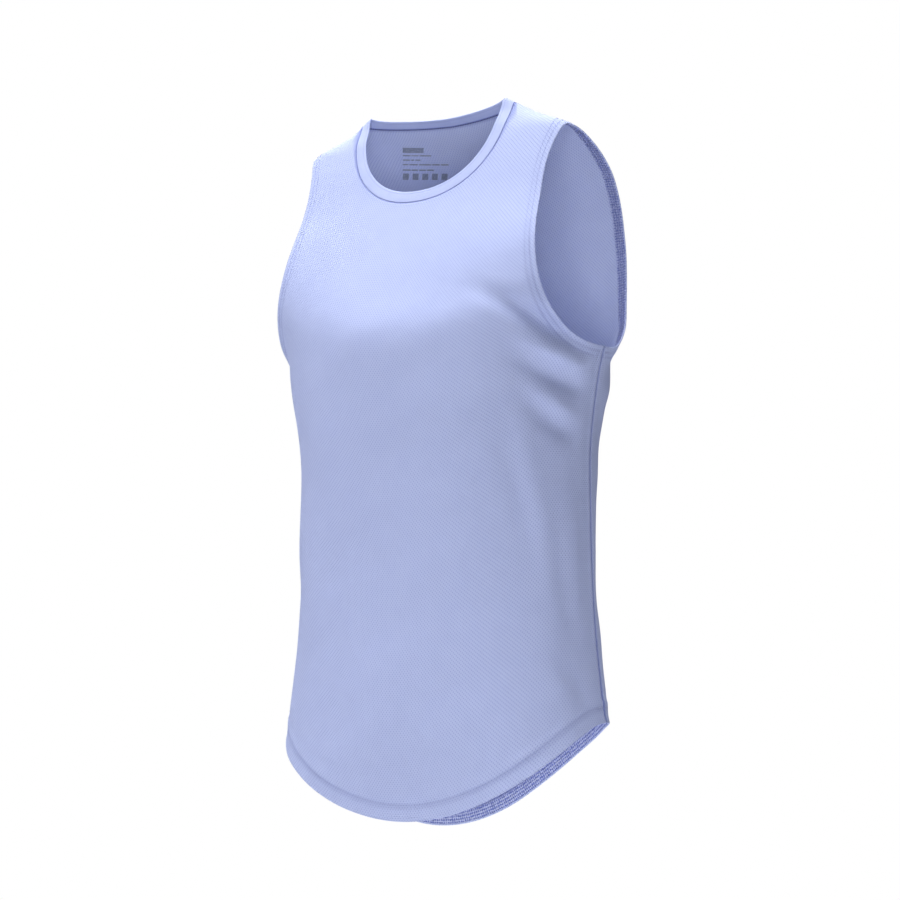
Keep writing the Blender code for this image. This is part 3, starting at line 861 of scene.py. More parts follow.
@dataclass(frozen=True)
class PanelCut:
    """The edges that one cut piece of the body is cut to, each an array of (angle, z).

    Attributes:
        side: front or back.
        neck_drop: of the neckline's lowest point.
        neck_powers: how upright the neckline's sides are and how flat its bottom.
        narrowest: half width of the panel where the armhole bites deepest.
        armhole_bend: share of the armhole's height at which its curved lower part ends.
        armhole_power: roundness of that lower part.
        tail: how far the hem's middle hangs below the side seams' ends.
        tail_power: shape of the shirt tail.
        tail_swing: over 1, the lowest point hangs toward the wearer's right.
    """

    side: Side
    neck_drop: float
    neck_powers: tuple[float, float]
    narrowest: float
    armhole_bend: float
    armhole_power: float
    tail: float
    tail_power: float
    tail_swing: float

    def seam_angle(self, z: Array) -> Array:
        """Angle of the side seam, which drifts evenly to the back from the underarm down."""
        share = np.clip((-z - UNDERARM_DROP) / (SIDE_SEAM_END_DROP - UNDERARM_DROP), 0, 1)
        return self.side.value * np.radians(SEAM_ANGLE_AT_HEM) * share

    def shoulder(self, stops: Array) -> Array:
        """Shoulder seam, from the inner edge of the armhole's hem to the neck binding's seam."""
        z = np.linspace(-SHOULDER_TIP_DROP, -NECK_POINT_DROP, FINE)
        ridge = FORM.point(self.side, 0 * z, z)
        clear = np.linalg.norm(ridge - ridge[0], axis=1) >= ARMHOLE_HEM_WIDTH
        return FORM.divide(self.side, np.stack([0 * z, z], -1)[clear], stops)

    def neck(self, stops: Array) -> Array:
        """Neckline, left to right: x = w cos^(2/p) t, z = top - fall sin^(2/q) t on each half."""
        turn = np.linspace(0, np.pi / 2, FINE)
        x = FORM.sizes(-np.array(NECK_POINT_DROP))[0] * np.cos(turn) ** (2 / self.neck_powers[0])
        fall = self.neck_drop - NECK_POINT_DROP
        z = -NECK_POINT_DROP - fall * np.sin(turn) ** (2 / self.neck_powers[1])
        half = np.stack([FORM.angle_at(self.side, x, z), z], -1)
        half[0, 0] = 0
        return FORM.divide(self.side, np.concatenate([half, mirrored(half)[-2::-1]]), stops)

    def armhole(self, stops: Array) -> Array:
        """Armhole edge from the underarm to the shoulder tip.

        The lower part is a superellipse quarter from the side seam in to the narrowest width, and
        the rest swings out again to the shoulder tip as the square of the way up.
        """
        bend = (UNDERARM_DROP - SHOULDER_TIP_DROP) * self.armhole_bend
        turn = np.linspace(0, np.pi / 2, FINE)
        under, tip = FORM.sizes(np.array([-UNDERARM_DROP, -SHOULDER_TIP_DROP]))[0]
        power = 2 / self.armhole_power
        low_x = self.narrowest + (under - self.narrowest) * (1 - np.sin(turn) ** power)
        low_z = -UNDERARM_DROP + bend * (1 - np.cos(turn) ** power)
        rest = np.linspace(0, 1, FINE)[1:]
        high_x = self.narrowest + (tip - self.narrowest) * rest**2
        high_z = low_z[-1] + (-SHOULDER_TIP_DROP - low_z[-1]) * rest
        x, z = np.concatenate([low_x, high_x]), np.concatenate([low_z, high_z])
        angle = FORM.angle_at(self.side, x, z)
        angle[[0, -1]] = 0
        return FORM.divide(self.side, np.stack([angle, z], -1), stops)

    def hem(self, stops: Array) -> Array:
        """Bottom edge, left to right: drop = seam end + tail sin^p(pi s^q) at share s across."""
        share = np.linspace(0, 1, FINE)
        swung = np.sin(np.pi * share**self.tail_swing).clip(0)
        z = -SIDE_SEAM_END_DROP - self.tail * swung**self.tail_power
        seam = self.seam_angle(-np.array(SIDE_SEAM_END_DROP))
        return FORM.divide(self.side, np.stack([seam + (np.pi - 2 * seam) * share, z], -1), stops)

    def side_seam(self, stops: Array) -> Array:
        """Side seam on the wearer's left, from the hem to the underarm."""
        z = -SIDE_SEAM_END_DROP + (SIDE_SEAM_END_DROP - UNDERARM_DROP) * stops
        return np.stack([self.seam_angle(z), z], -1)


FRONT_CUT = PanelCut(Side.FRONT, 100, (2.1, 2.3), 145, 0.76, 1.5, 94, 2.5, 0.97)
BACK_CUT = PanelCut(Side.BACK, 11, (1.4, 1.7), 168, 0.78, 2.25, 108, 1.85, 1.36)


@dataclass(frozen=True)
class EdgeLine:
    """A line on the form that relief is measured from.

    Attributes:
        points: of the line, about 1 mm apart.
        block: points that are measured from it at a time.
    """

    points: Array
    block: int = 8000

    @cached_property
    def lengths(self) -> Array:
        """Length along the line at each of its points."""
        return length_along(self.points)

    @cached_property
    def way(self) -> Array:
        """Unit vectors along the line."""
        return unit(np.gradient(self.points, axis=0))

    def near(self, places: Array) -> tuple[Array, Array]:
        """Distance of each point from the line, and where along the line it is nearest.

        The nearest of the line's points comes from |p|^2 + |q|^2 - 2 p.q for blocks of points, and
        the distance is then taken square to the line there.

        Args:
            places: points of the form.

        Returns:
            The distances and the lengths along the line.
        """
        flat = places.reshape(-1, 3)
        blocks = np.array_split(flat, max(1, len(flat) // self.block))
        own = np.sum(self.points**2, -1)
        found = [np.argmin(own - 2 * block @ self.points.T, 1) for block in blocks]
        nearest = np.concatenate(found)
        offset = flat - self.points[nearest]
        run = np.sum(offset * self.way[nearest], -1)
        distance = np.linalg.norm(offset - run[:, None] * self.way[nearest], axis=-1)
        past_end = np.where((nearest == 0) | (nearest == len(own) - 1), np.abs(run), 0)
        away, along = np.hypot(distance, past_end), self.lengths[nearest] + run
        return away.reshape(places.shape[:-1]), along.reshape(places.shape[:-1])


WANDERS = (  # sines of a wandering value: height, turns to a length, share of the seed
    (1.0, 1.0, 1.0),
    (0.7, 1.618, 2.3),
    (0.5, 0.441, 4.1),
)


def uneven(along: Array, length: float, seed: float) -> Array:
    """A wandering value from -1 to 1 along a line: three sines of unlike lengths."""
    turn = 2 * np.pi * along / length
    sines = (height * np.sin(turn * turns + own * seed) for height, turns, own in WANDERS)
    return sum(sines) / sum(height for height, *_ in WANDERS)


@dataclass(frozen=True)
class EdgeRelief:
    """What one kind of seam or hem does to the cloth beside it.

    Heights are out of the cloth and distances are from the edge.

    Attributes:
        rows: distances of its stitch lines, or 0 for a seam's own line.
        dark: how deep the cloth looks on a row, from 0 to 1, and half width of that look.
        pinch: how far a row draws the cloth in, and half width of its groove.
        band: height of the doubled cloth, and from where to where it dies away.
        flare: how far the very edge kicks out, and the same two distances.
        ridge: height of the swell beside the rows, its wandering part, distance and half width.
        wander: length that the swell wanders over, and the seed of its wandering.
        pucker: height of the small puckers, length of one, and their seed.
        pucker_fade: where they have their whole height, and from where to where they die away.
        taut: share of it all that is left where the shoulder pulls the cloth tight, and from
            where to where down the form that pull dies away.
    """

    rows: Sizes
    dark: Sizes
    pinch: Sizes = (0.0, 1.0)
    band: Sizes = (0.0, 0.0, 1.0)
    flare: Sizes = (0.0, 0.0, 1.0)
    ridge: Sizes = (0.0, 0.0, 0.0, 1.0)
    wander: Sizes = (1.0, 0.0)
    pucker: Sizes = (0.0, 1.0, 0.0)
    pucker_fade: Sizes = (1.0, 0.0, 1.0)
    taut: Sizes = (1.0, 0.0, 1.0)

    def on_rows(self, away: Array, height: float, width: float) -> Array:
        """A bell of this height and half width on each row."""
        return height * sum(bell(away, row, width) for row in self.rows)

    def left_by_shoulder(self, z: Array) -> Array:
        """Share of the relief that is left at a height."""
        left, *drops = self.taut
        return left + (1 - left) * eased(-z, *drops)

    def lift(self, away: Array, along: Array, seed: float) -> Array:
        """Height of the band, the swell and the puckers, less the pinch of the rows.

        Args:
            away: distance from the edge.
            along: distance along it.
            seed: added to the seeds, so that two edges of a kind differ.

        Returns:
            The heights.
        """
        total = -self.on_rows(away, *self.pinch)
        for height, *ends in (self.band, self.flare):
            total = total + height * (1 - eased(away, *ends))
        steady, wandering, *place = self.ridge
        swell = steady + wandering * uneven(along, self.wander[0], self.wander[1] + seed)
        height, length, own = self.pucker
        whole, *ends = self.pucker_fade
        fade = (1 - eased(away, *ends)) * eased(away, 0, whole)
        puckers = height * uneven(along, length, own + seed) * fade
        return total + swell * bell(away, *place) + puckers


BOTTOM_EDGE = EdgeRelief(
    rows=(13.0, 15.4),
    dark=(0.5, 0.9),
    pinch=(0.35, 0.8),
    band=(0.5, 15.5, 18.0),
    flare=(0.9, 0.0, 9.0),
    ridge=(0.95, 0.3, 19.5, 3.0),
    wander=(90.0, 1.0),
    pucker=(0.3, 17.0, 2.0),
    pucker_fade=(9.0, 8.0, 34.0),
)
ARMHOLE_EDGE = EdgeRelief(
    rows=(6.0, 10.5),
    dark=(0.6, 0.9),
    pinch=(0.35, 0.8),
    band=(0.4, 11.0, 13.5),
    ridge=(0.2, 0.0, 15.0, 2.5),
    pucker=(0.3, 13.0, 3.0),
    pucker_fade=(7.0, 6.0, 22.0),
    taut=(0.2, 110.0, 225.0),
)
SEAM_EDGE = EdgeRelief(
    rows=(0.0,),
    dark=(1.0, 1.0),
    ridge=(0.45, 0.15, 3.2, 2.2),
    wander=(60.0, 5.0),
    pucker=(0.24, 15.0, 7.0),
    pucker_fade=(3.0, 2.0, 20.0),
)
NECK_EDGE = EdgeRelief(rows=(0.0,), dark=(0.9, 0.6), ridge=(0.25, 0.0, 1.8, 1.5))


@dataclass(frozen=True)
class Cloth:
    """The cloth of one panel: the form, its drape and what its seams and hems do, together.

    Attributes:
        cut: the panel's edges.
    """

    cut: PanelCut

    @cached_property
    def edges(self) -> tuple[tuple[EdgeLine, EdgeRelief, float], ...]:
        """Each edge as a line, what it does to the cloth, and a seed of its own."""
        armhole, seam = self.cut.armhole(even(260)), self.cut.side_seam(even(360))
        curves = (
            (self.cut.hem(even(560)), BOTTOM_EDGE, 0.0),
            (armhole, ARMHOLE_EDGE, 0.0),
            (mirrored(armhole), ARMHOLE_EDGE, 1.0),
            (seam, SEAM_EDGE, 0.0),
            (mirrored(seam), SEAM_EDGE, 1.0),
            (self.cut.neck(even(340)), NECK_EDGE, 0.0),
        )
        return tuple((EdgeLine(self.bare(curve)), kind, seed) for curve, kind, seed in curves)

    def bare(self, places: Array) -> Array:
        """Point of the form at places of (angle, z)."""
        return FORM.point(self.cut.side, places[..., 0], places[..., 1])

    def normal(self, places: Array) -> Array:
        """Unit vectors out of the form at places of (angle, z)."""
        return FORM.normal(self.cut.side, places[..., 0], places[..., 1])

    def draped(self, places: Array) -> Array:
        """How far the folds and waves stand off the form at places of (angle, z)."""
        return DRAPE.lift(self.cut.side, places[..., 0], places[..., 1])

    def point(self, places: Array, out: float = 0.0) -> Array:
        """Point of the cloth at places of (angle, z), moved out of it."""
        bare, z = self.bare(places), places[..., 1]
        sewn = sum(
            kind.lift(*line.near(bare), seed) * kind.left_by_shoulder(z)
            for line, kind, seed in self.edges
        )
        return bare + self.normal(places) * (self.draped(places) + sewn + out)[..., None]

    def shade(self, places: Array) -> Array:
        """How deep in a seam's or hem's groove each place lies, from 0 to 1."""
        bare, z = self.bare(places), places[..., 1]
        deep = sum(
            kind.on_rows(line.near(bare)[0], *kind.dark) * kind.left_by_shoulder(z)
            for line, kind, _ in self.edges
        )
        return np.clip(deep, 0, 1)


FRONT_CLOTH, BACK_CLOTH = Cloth(FRONT_CUT), Cloth(BACK_CUT)
CLOTHS = (FRONT_CLOTH, BACK_CLOTH)
FACE = 0.6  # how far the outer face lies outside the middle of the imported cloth


# ---- finishes ----


class NodeBench:
    """A material's node tree with short ways to add nodes to it."""

    def __init__(self, name: str) -> None:
        """Makes the material and keeps its shader.

        Args:
            name: of the material.
        """
        self.material = bpy.data.materials.new(name)
        self.material.use_nodes = True
        self.tree = self.material.node_tree
        self.shader = self.tree.nodes["Principled BSDF"]

    def add(self, kind: str, **settings: object) -> bpy.types.Node:
        """Adds a node and sets its properties."""
        node = self.tree.nodes.new(kind)
        for key, value in settings.items():
            setattr(node, key, value)
        return node

    def feed(self, socket: Socket, value: object) -> None:
        """Links an output to the socket, or sets the socket's own value."""
        if isinstance(value, Socket):
            self.tree.links.new(value, socket)
        else:
            socket.default_value = value

    def maths(self, kind: str, *values: object) -> Socket:
        """Result of a Math node of the given kind."""
        node = self.add("ShaderNodeMath", operation=kind)
        for socket, value in zip(node.inputs, values):
            self.feed(socket, value)
        return node.outputs[0]

    def grain(self) -> tuple[Socket, Socket]:
        """Metres across and along the piece, from its own map."""
        source = self.add("ShaderNodeUVMap", uv_map="grain")
        parts = self.add("ShaderNodeSeparateXYZ")
        self.feed(parts.inputs[0], source.outputs[0])
        return parts.outputs[0], parts.outputs[1]

    def scaled(self, value: Socket, by: object) -> Socket:
        """The value times a number or another value."""
        return self.maths("MULTIPLY", value, by)

    def wave(self, value: Socket, length: float) -> Socket:
        """Cosine of a distance, of the given wave length in metres."""
        return self.maths("COSINE", self.maths("MULTIPLY_ADD", value, 2 * np.pi / length, 0.0))

    def ramp(self, value: Socket, low: float = -1.0, high: float = 1.0) -> Socket:
        """Smooth step of a value from 0 at low to 1 at high."""
        node = self.add("ShaderNodeMapRange", interpolation_type="SMOOTHSTEP")
        for name, given in (("Value", value), ("From Min", low), ("From Max", high)):
            self.feed(node.inputs[name], given)
        return node.outputs[0]

    def noise(self, scale: float, detail: float = 3.0) -> Socket:
        """Noise over the object's own coordinates, about 0.5."""
        source = self.add("ShaderNodeTexCoord")
        node = self.add("ShaderNodeTexNoise")
        self.feed(node.inputs["Vector"], source.outputs["Object"])
        node.inputs["Scale"].default_value = scale
        node.inputs["Detail"].default_value = detail
        return node.outputs["Fac"]

    def mix(self, share: object, first: object, second: object) -> Socket:
        """Colour between two colours."""
        node = self.add("ShaderNodeMix", data_type="RGBA")
        self.feed(node.inputs[0], share)
        for socket, value in ((node.inputs[6], first), (node.inputs[7], second)):
            self.feed(socket, value)
        return node.outputs[2]

    def carried(self, key: str) -> Socket:
        """A value that the mesh carries: "shade" or "inside"."""
        return self.add("ShaderNodeAttribute", attribute_name=key).outputs["Fac"]

    def shadowed(self, colour: Socket) -> Socket:
        """The colour, darkened where the mesh's shade says that it lies down in a seam."""
        return self.mix(self.scaled(self.carried("shade"), SEAM_DEPTH), colour, SEAM_SHADOW)


def linear(red: int, green: int, blue: int) -> tuple[float, float, float, float]:
    """An everyday 0 to 255 colour as linear light, by the sRGB curve."""
    share = np.array([red, green, blue]) / 255
    light = np.where(share <= 0.04045, share / 12.92, ((share + 0.055) / 1.055) ** 2.4)
    return (*(float(x) for x in light), 1.0)


SEAM_SHADOW = linear(120, 132, 196)
SEAM_DEPTH = 0.8  # share of that shadow at the bottom of a groove
Painted = tuple[Socket, Socket]  # colour and bump height


@dataclass(frozen=True, kw_only=True)
class Finish:
    """A surface that one shader gives.

    Attributes:
        name: of the material.
        relief: metres that one unit of its bump stands for.
        roughness: from 0 for a mirror to 1 for chalk.
        specular: strength of its shine.
        sheen: strength of its soft glow at a slant.
    """

    name: str
    relief: float
    roughness: float
    specular: float = 0.2
    sheen: float = 0.0

    def paint(self, bench: NodeBench) -> Painted:
        """Adds the nodes of colour and bump height, and gives those two."""
        raise NotImplementedError

    def material(self) -> Material:
        """The finish as a material, with colour and bump wired into its shader."""
        bench = NodeBench(self.name)
        colour, height = self.paint(bench)
        bump = bench.add("ShaderNodeBump")
        given = bench.shader.inputs
        for socket, value in (
            (bump.inputs["Distance"], self.relief),
            (bump.inputs["Height"], height),
            (given["Normal"], bump.outputs[0]),
            (given["Base Color"], colour),
            (given["Roughness"], self.roughness),
            (given["Specular IOR Level"], self.specular),
            (given["Sheen Weight"], self.sheen),
        ):
            bench.feed(socket, value)
        return bench.material


@dataclass(frozen=True, kw_only=True)
class KnitFinish(Finish):
    """Eyelet jersey: staggered small eyelets over fine wales, in a dull smooth yarn.

    Attributes:
        yarn: colour of the yarn on the face.
        painted_light_inside: a paler colour on the inner face, painted light that stands for the
        light which the lamps bring too little inside.
        hollow: colour down in an eyelet.
        pitch: metres between eyelets across and up the cloth, two staggered rows to a pitch.
        fine: wales and courses to a pitch.
        eyelet: how strongly the eyelets darken.
        rim: where on the lattice's swing an eyelet begins and is at its deepest.
        loop_height: of the fine loops, as a share of an eyelet's depth.
        mottle: how strongly the dye is uneven, how fine it is, and where it begins and ends.
    """

    name: str = "eyelet_knit"
    relief: float = 0.00022
    roughness: float = 0.78
    sheen: float = 0.03
    yarn: Sizes = linear(194, 205, 247)
    painted_light_inside: Sizes = linear(206, 216, 250)
    hollow: Sizes = linear(142, 156, 222)
    pitch: tuple[float, float] = (0.0031, 0.00405)
    fine: tuple[int, int] = (4, 5)
    eyelet: float = 0.75
    rim: tuple[float, float] = (0.25, 0.95)
    loop_height: float = 0.12
    mottle: Sizes = (0.05, 55.0, 0.3, 0.7)

    def paint(self, bench: NodeBench) -> Painted:
        """Eyelets are the peaks of cos(2 pi u / p) * cos(2 pi v / q), which stagger by themselves.

        Fine loops, of the same formula at a closer pitch, and a faint mottle lie under them.
        """
        u, v = bench.grain()
        across, up = self.pitch
        lattice = bench.scaled(bench.wave(u, across), bench.wave(v, up))
        loops = bench.scaled(
            bench.wave(u, across / self.fine[0]), bench.wave(v, up / self.fine[1])
        )
        eyelet = bench.ramp(lattice, *self.rim)
        share, scale, *ends = self.mottle
        # painted light: the inner face is paler than the yarn, for light the lamps bring too little
        # inside
        main_colour = bench.mix(bench.carried("inside"), self.yarn, self.painted_light_inside)
        uneven_dye = bench.scaled(bench.ramp(bench.noise(scale), *ends), share)
        base = bench.mix(uneven_dye, main_colour, self.hollow)
        pierced = bench.mix(bench.scaled(eyelet, self.eyelet), base, self.hollow)
        pit = bench.scaled(eyelet, -1.0)
        return bench.shadowed(pierced), bench.maths("MULTIPLY_ADD", loops, self.loop_height, pit)


@dataclass(frozen=True, kw_only=True)
class RibFinish(Finish):
    """Neck binding: smooth close knit with fine lengthwise lines.

    Attributes:
        yarn: its colour.
        groove: colour between the fine lines.
        pitch: metres from line to line, and from loop to loop along a line.
        mottle: how fine the unevenness of the grooves is.
    """

    name: str = "neck_rib"
    relief: float = 0.00008
    roughness: float = 0.72
    sheen: float = 0.03
    yarn: Sizes = linear(195, 206, 249)
    groove: Sizes = linear(175, 188, 240)
    pitch: tuple[float, float] = (0.0011, 0.0013)
    mottle: float = 90.0

    def paint(self, bench: NodeBench) -> Painted:
        """Fine lines run along the strip as a cosine across it, over a faint mottle."""
        u, v = bench.grain()
        lines = bench.wave(u, self.pitch[0])
        loops = bench.scaled(lines, bench.wave(v, self.pitch[1]))
        share = bench.scaled(bench.ramp(lines), bench.noise(self.mottle))
        return bench.shadowed(bench.mix(share, self.yarn, self.groove)), loops


@dataclass(frozen=True, kw_only=True)
class TurnedFinish(Finish):
    """Inside of a turned hem: the knit's rough back, covered with looped thread.

    Attributes:
        yarn: its lighter colour.
        shadow: colour between the loops.
        loop: metres across and along one loop.
        rough: how fine the noise is that breaks up the loops, and how strong.
        edge: height at which a loop begins, below 0, and is whole, above it.
    """

    name: str = "turned_knit"
    relief: float = 0.0004
    roughness: float = 0.85
    sheen: float = 0.1
    yarn: Sizes = linear(206, 214, 250)
    shadow: Sizes = linear(122, 134, 204)
    loop: tuple[float, float] = (0.0030, 0.0026)
    rough: tuple[float, float] = (520.0, 6.0)
    edge: float = 1.2

    def paint(self, bench: NodeBench) -> Painted:
        """Loops are where two cosines and a noise add up high, so no two are alike."""
        u, v = bench.grain()
        scale, strength = self.rough
        lattice = bench.maths("ADD", bench.wave(u, self.loop[0]), bench.wave(v, self.loop[1]))
        centred = bench.maths("MULTIPLY_ADD", bench.noise(scale, 1.0), strength, -strength / 2)
        height = bench.ramp(bench.maths("ADD", lattice, centred), -self.edge, self.edge)
        return bench.mix(height, self.shadow, self.yarn), height


@dataclass(frozen=True, kw_only=True)
class ThreadFinish(Finish):
    """Sewing thread: two plies twisted together.

    Attributes:
        main_colour: its colour.
        groove: colour between the plies.
        twist: metres from ply to ply along the thread.
    """

    relief: float = 0.00006
    roughness: float = 0.55
    specular: float = 0.4
    sheen: float = 0.1
    main_colour: Sizes
    groove: Sizes
    twist: float = 0.0007

    def paint(self, bench: NodeBench) -> Painted:
        """The plies are a cosine of the way along plus the way round."""
        plies = bench.wave(bench.maths("ADD", *bench.grain()), self.twist)
        return bench.mix(bench.ramp(plies), self.groove, self.main_colour), plies


@dataclass(frozen=True, kw_only=True)
class MottledFinish(Finish):
    """Two colours that a noise mixes.

    Attributes:
        first: colour where the noise runs low.
        second: colour where it runs high.
        scale: how fine the noise is.
        detail: octaves in it.
        ends: where on the noise the change begins and ends.
    """

    first: Sizes
    second: Sizes
    scale: float
    detail: float = 3.0
    ends: tuple[float, float] = (0.35, 0.65)

    def paint(self, bench: NodeBench) -> Painted:
        """The noise is the bump as well."""
        cloudy = bench.noise(self.scale, self.detail)
        return bench.mix(bench.ramp(cloudy, *self.ends), self.first, self.second), cloudy


HEM_THREAD = ThreadFinish(
    name="hem_thread", main_colour=linear(178, 189, 238), groove=linear(140, 152, 214)
)
LOOPER_THREAD = ThreadFinish(
    name="looper_thread", main_colour=linear(184, 194, 240), groove=linear(120, 132, 200)
)
NECK_THREAD = ThreadFinish(name="neck_thread", main_colour=linear(66, 72, 140), groove=linear(44, 48, 100))
WORN_INK = MottledFinish(
    name="care_print",
    relief=0.00004,
    roughness=0.6,
    specular=0.3,
    first=linear(165, 174, 202),
    second=linear(128, 136, 152),
    scale=1400.0,
    detail=2.0,
)
FLOOR_PAINT = MottledFinish(
    name="studio_floor",
    relief=0.0002,
    roughness=0.8,
    first=(0.86, 0.86, 0.87, 1.0),
    second=(0.83, 0.83, 0.84, 1.0),
    scale=1.5,
)


# ---- the panels ----


@dataclass(frozen=True)
class KnitPanel:
    """Front or back of the body, one closed shell of knit.

    Attributes:
        name: of the piece.
        node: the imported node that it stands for.
        cloth: its surface.
        neck_cells: cells of the coarsest net along the neckline, an even number.
        shoulder_cells: the same along each shoulder.
        seam_cells: up each side seam.
        armhole_cells: up each armhole.
        doublings: times that the net is doubled.
        strip_cells: cells of the finest net across the strips beside the seams and armholes.
        band_cells: up the bottom hem.
        rounds: evening passes after each doubling.
        calm_cells: cells at each end of the inset armhole line that are eased.
        calm_parts: the easing reaches over one part in this many of the line.
        shell: the shell's thickness and edges.
    """

    name: str
    node: str
    cloth: Cloth
    neck_cells: int = 14
    shoulder_cells: int = 3
    seam_cells: int = 16
    armhole_cells: int = 12
    doublings: int = 3
    strip_cells: int = 7
    band_cells: int = 9
    rounds: int = 60
    calm_cells: float = 3.0
    calm_parts: float = 60.0
    shell: ClothShell = ClothShell()

    @cached_property
    def strip_share(self) -> float:
        """Share of the bottom edge's length that lies below one of the side strips."""
        edge = self.cloth.bare(self.cloth.cut.hem(even(FINE)))
        return ARMHOLE_HEM_WIDTH / length_along(edge)[-1]

    def top(self, times: int) -> Array:
        """Top edge, left to right: shoulder seam, neckline, shoulder seam."""
        shoulder = self.cloth.cut.shoulder(even(self.shoulder_cells * times))
        neck = self.cloth.cut.neck(even(self.neck_cells * times))
        return np.concatenate([shoulder, neck[1:-1], mirrored(shoulder)[::-1]])

    def hem(self, times: int) -> Array:
        """Bottom edge at the columns of the inner net, one strip's width in from each seam."""
        columns = (self.neck_cells + 2 * self.shoulder_cells) * times
        return self.cloth.cut.hem(held_back(even(columns), self.strip_share))

    def edges(self, times: int) -> tuple[Array, ...]:
        """The inner net's left, right, bottom and top edges, with this many times its cells.

        The left edge runs one strip's width inside the side seam and the armhole.
        """
        cut = self.cloth.cut
        top, hem = self.top(times), self.hem(times)
        bottom = FORM.inset(cut.side, hem, -BOTTOM_HEM_WIDTH)
        _, front, back, *_ = FORM.sizes(np.array(-UNDERARM_DROP - ARMHOLE_HEM_WIDTH))
        inward = ARMHOLE_HEM_WIDTH / (front if cut.side is Side.FRONT else back)
        climb = even(self.seam_cells * times)
        seam_z = bottom[0, 1] + climb * (-UNDERARM_DROP - ARMHOLE_HEM_WIDTH - bottom[0, 1])
        first_in = bottom[0, 0] - cut.seam_angle(bottom[0, 1])
        seam_angle = cut.seam_angle(seam_z) + first_in + climb * (inward - first_in)
        seam = np.stack([seam_angle, seam_z], -1)
        armhole = cut.armhole(even(self.armhole_cells * times))
        armhole = np.maximum(FORM.inset(cut.side, armhole, ARMHOLE_HEM_WIDTH), seam[-1])
        armhole[0], armhole[-1] = seam[-1], top[0]
        left = np.concatenate([seam, self.settled(cut.side, armhole)[1:]])
        right = mirrored(left)
        right[0] = bottom[-1]
        return left, right, bottom, top

    def settled(self, side: Side, curve: Array) -> Array:
        """The inset armhole line eased into its two fixed ends and divided evenly again."""
        count = len(curve)
        share = even(count - 1)[:, None]
        width = self.calm_cells / count
        fade = np.clip(bell(share, 0, width) + bell(share, 1, width), 0, 1)
        soft = softened(curve, max(count / self.calm_parts, 0.4), closed=False)
        calm = curve * (1 - fade) + soft * fade
        calm[0], calm[-1] = curve[0], curve[-1]
        return FORM.divide(side, calm, even(count - 1))

    def net(self) -> Array:
        """Grid of (angle, z): rows from the hem up, columns from the wearer's left to right.

        The inner net starts as a blend of its four edges on the cloth laid flat. It is evened,
        doubled and evened again, with its edges set exactly each time.
        """
        side = self.cloth.cut.side
        flat = FlatCloth(FORM, side)
        grid = None
        for doubling in range(self.doublings + 1):
            edges = self.edges(2**doubling)
            left, right, bottom, top = (flat.laid(edge) for edge in edges)
            grid = blended(left, right, bottom, top) if grid is None else doubled(grid)
            grid[:, 0], grid[:, -1], grid[0], grid[-1] = left, right, bottom, top
            grid = evened(grid, self.rounds)
        inner = flat.wrapped(grid)
        inner[:, 0], inner[:, -1], inner[0], inner[-1] = edges
        return self.bordered(inner, 2**self.doublings)

    def bordered(self, inner: Array, times: int) -> Array:
        """The inner net with straight-ruled strips to the side edges, and the hem band below."""
        cut = self.cloth.cut
        foot = -SIDE_SEAM_END_DROP + BOTTOM_HEM_WIDTH
        seam_z = np.linspace(foot, -UNDERARM_DROP, self.seam_cells * times + 1)
        seam = np.stack([cut.seam_angle(seam_z), seam_z], -1)
        armhole = cut.armhole(even(self.armhole_cells * times))
        left = np.concatenate([seam, armhole[1:]])
        share = even(self.strip_cells)[:-1][None, :, None]
        strip = left[:, None] * (1 - share) + inner[:, :1] * share
        other = mirrored(left)[:, None] * (1 - share) + inner[:, -1:] * share
        rows = np.concatenate([strip, inner, other[:, ::-1]], 1)
        stops = self.strip_share * even(self.strip_cells)[:-1]
        low = np.concatenate([cut.hem(stops), self.hem(times), cut.hem(1 - stops[::-1])])
        climb = even(self.band_cells)[:-1][:, None, None]
        band = low * (1 - climb) + rows[0] * climb
        return np.concatenate([band, rows])

    def build(self, material: Material) -> Piece:
        """Makes the piece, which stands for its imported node."""
        places = self.net()
        grain = FlatCloth(FORM, self.cloth.cut.side).grain(places)
        outer, ways = self.cloth.point(places, FACE), self.cloth.normal(places)
        skin = self.shell.build(outer, ways, grain, self.cloth.shade(places))
        return skin.make(self.name, material, "knit", self.node)


def blended(left: Array, right: Array, bottom: Array, top: Array) -> Array:
    """Grid between four edges: both straight blends of opposite edges, less that of the corners."""
    u = even(len(top) - 1)[None, :, None]
    v = even(len(left) - 1)[:, None, None]
    across = (1 - u) * left[:, None] + u * right[:, None]
    upward = (1 - v) * bottom + v * top
    low, high = ((1 - u) * edge[0] + u * edge[-1] for edge in (bottom, top))
    return across + upward - ((1 - v) * low + v * high)


def doubled(grid: Array) -> Array:
    """The grid with a row between every two rows and a column between every two columns."""
    rows = np.empty((2 * len(grid) - 1, *grid.shape[1:]))
    rows[::2], rows[1::2] = grid, (grid[1:] + grid[:-1]) / 2
    made = np.empty((len(rows), 2 * rows.shape[1] - 1, rows.shape[2]))
    made[:, ::2], made[:, 1::2] = rows, (rows[:, 1:] + rows[:, :-1]) / 2
    return made


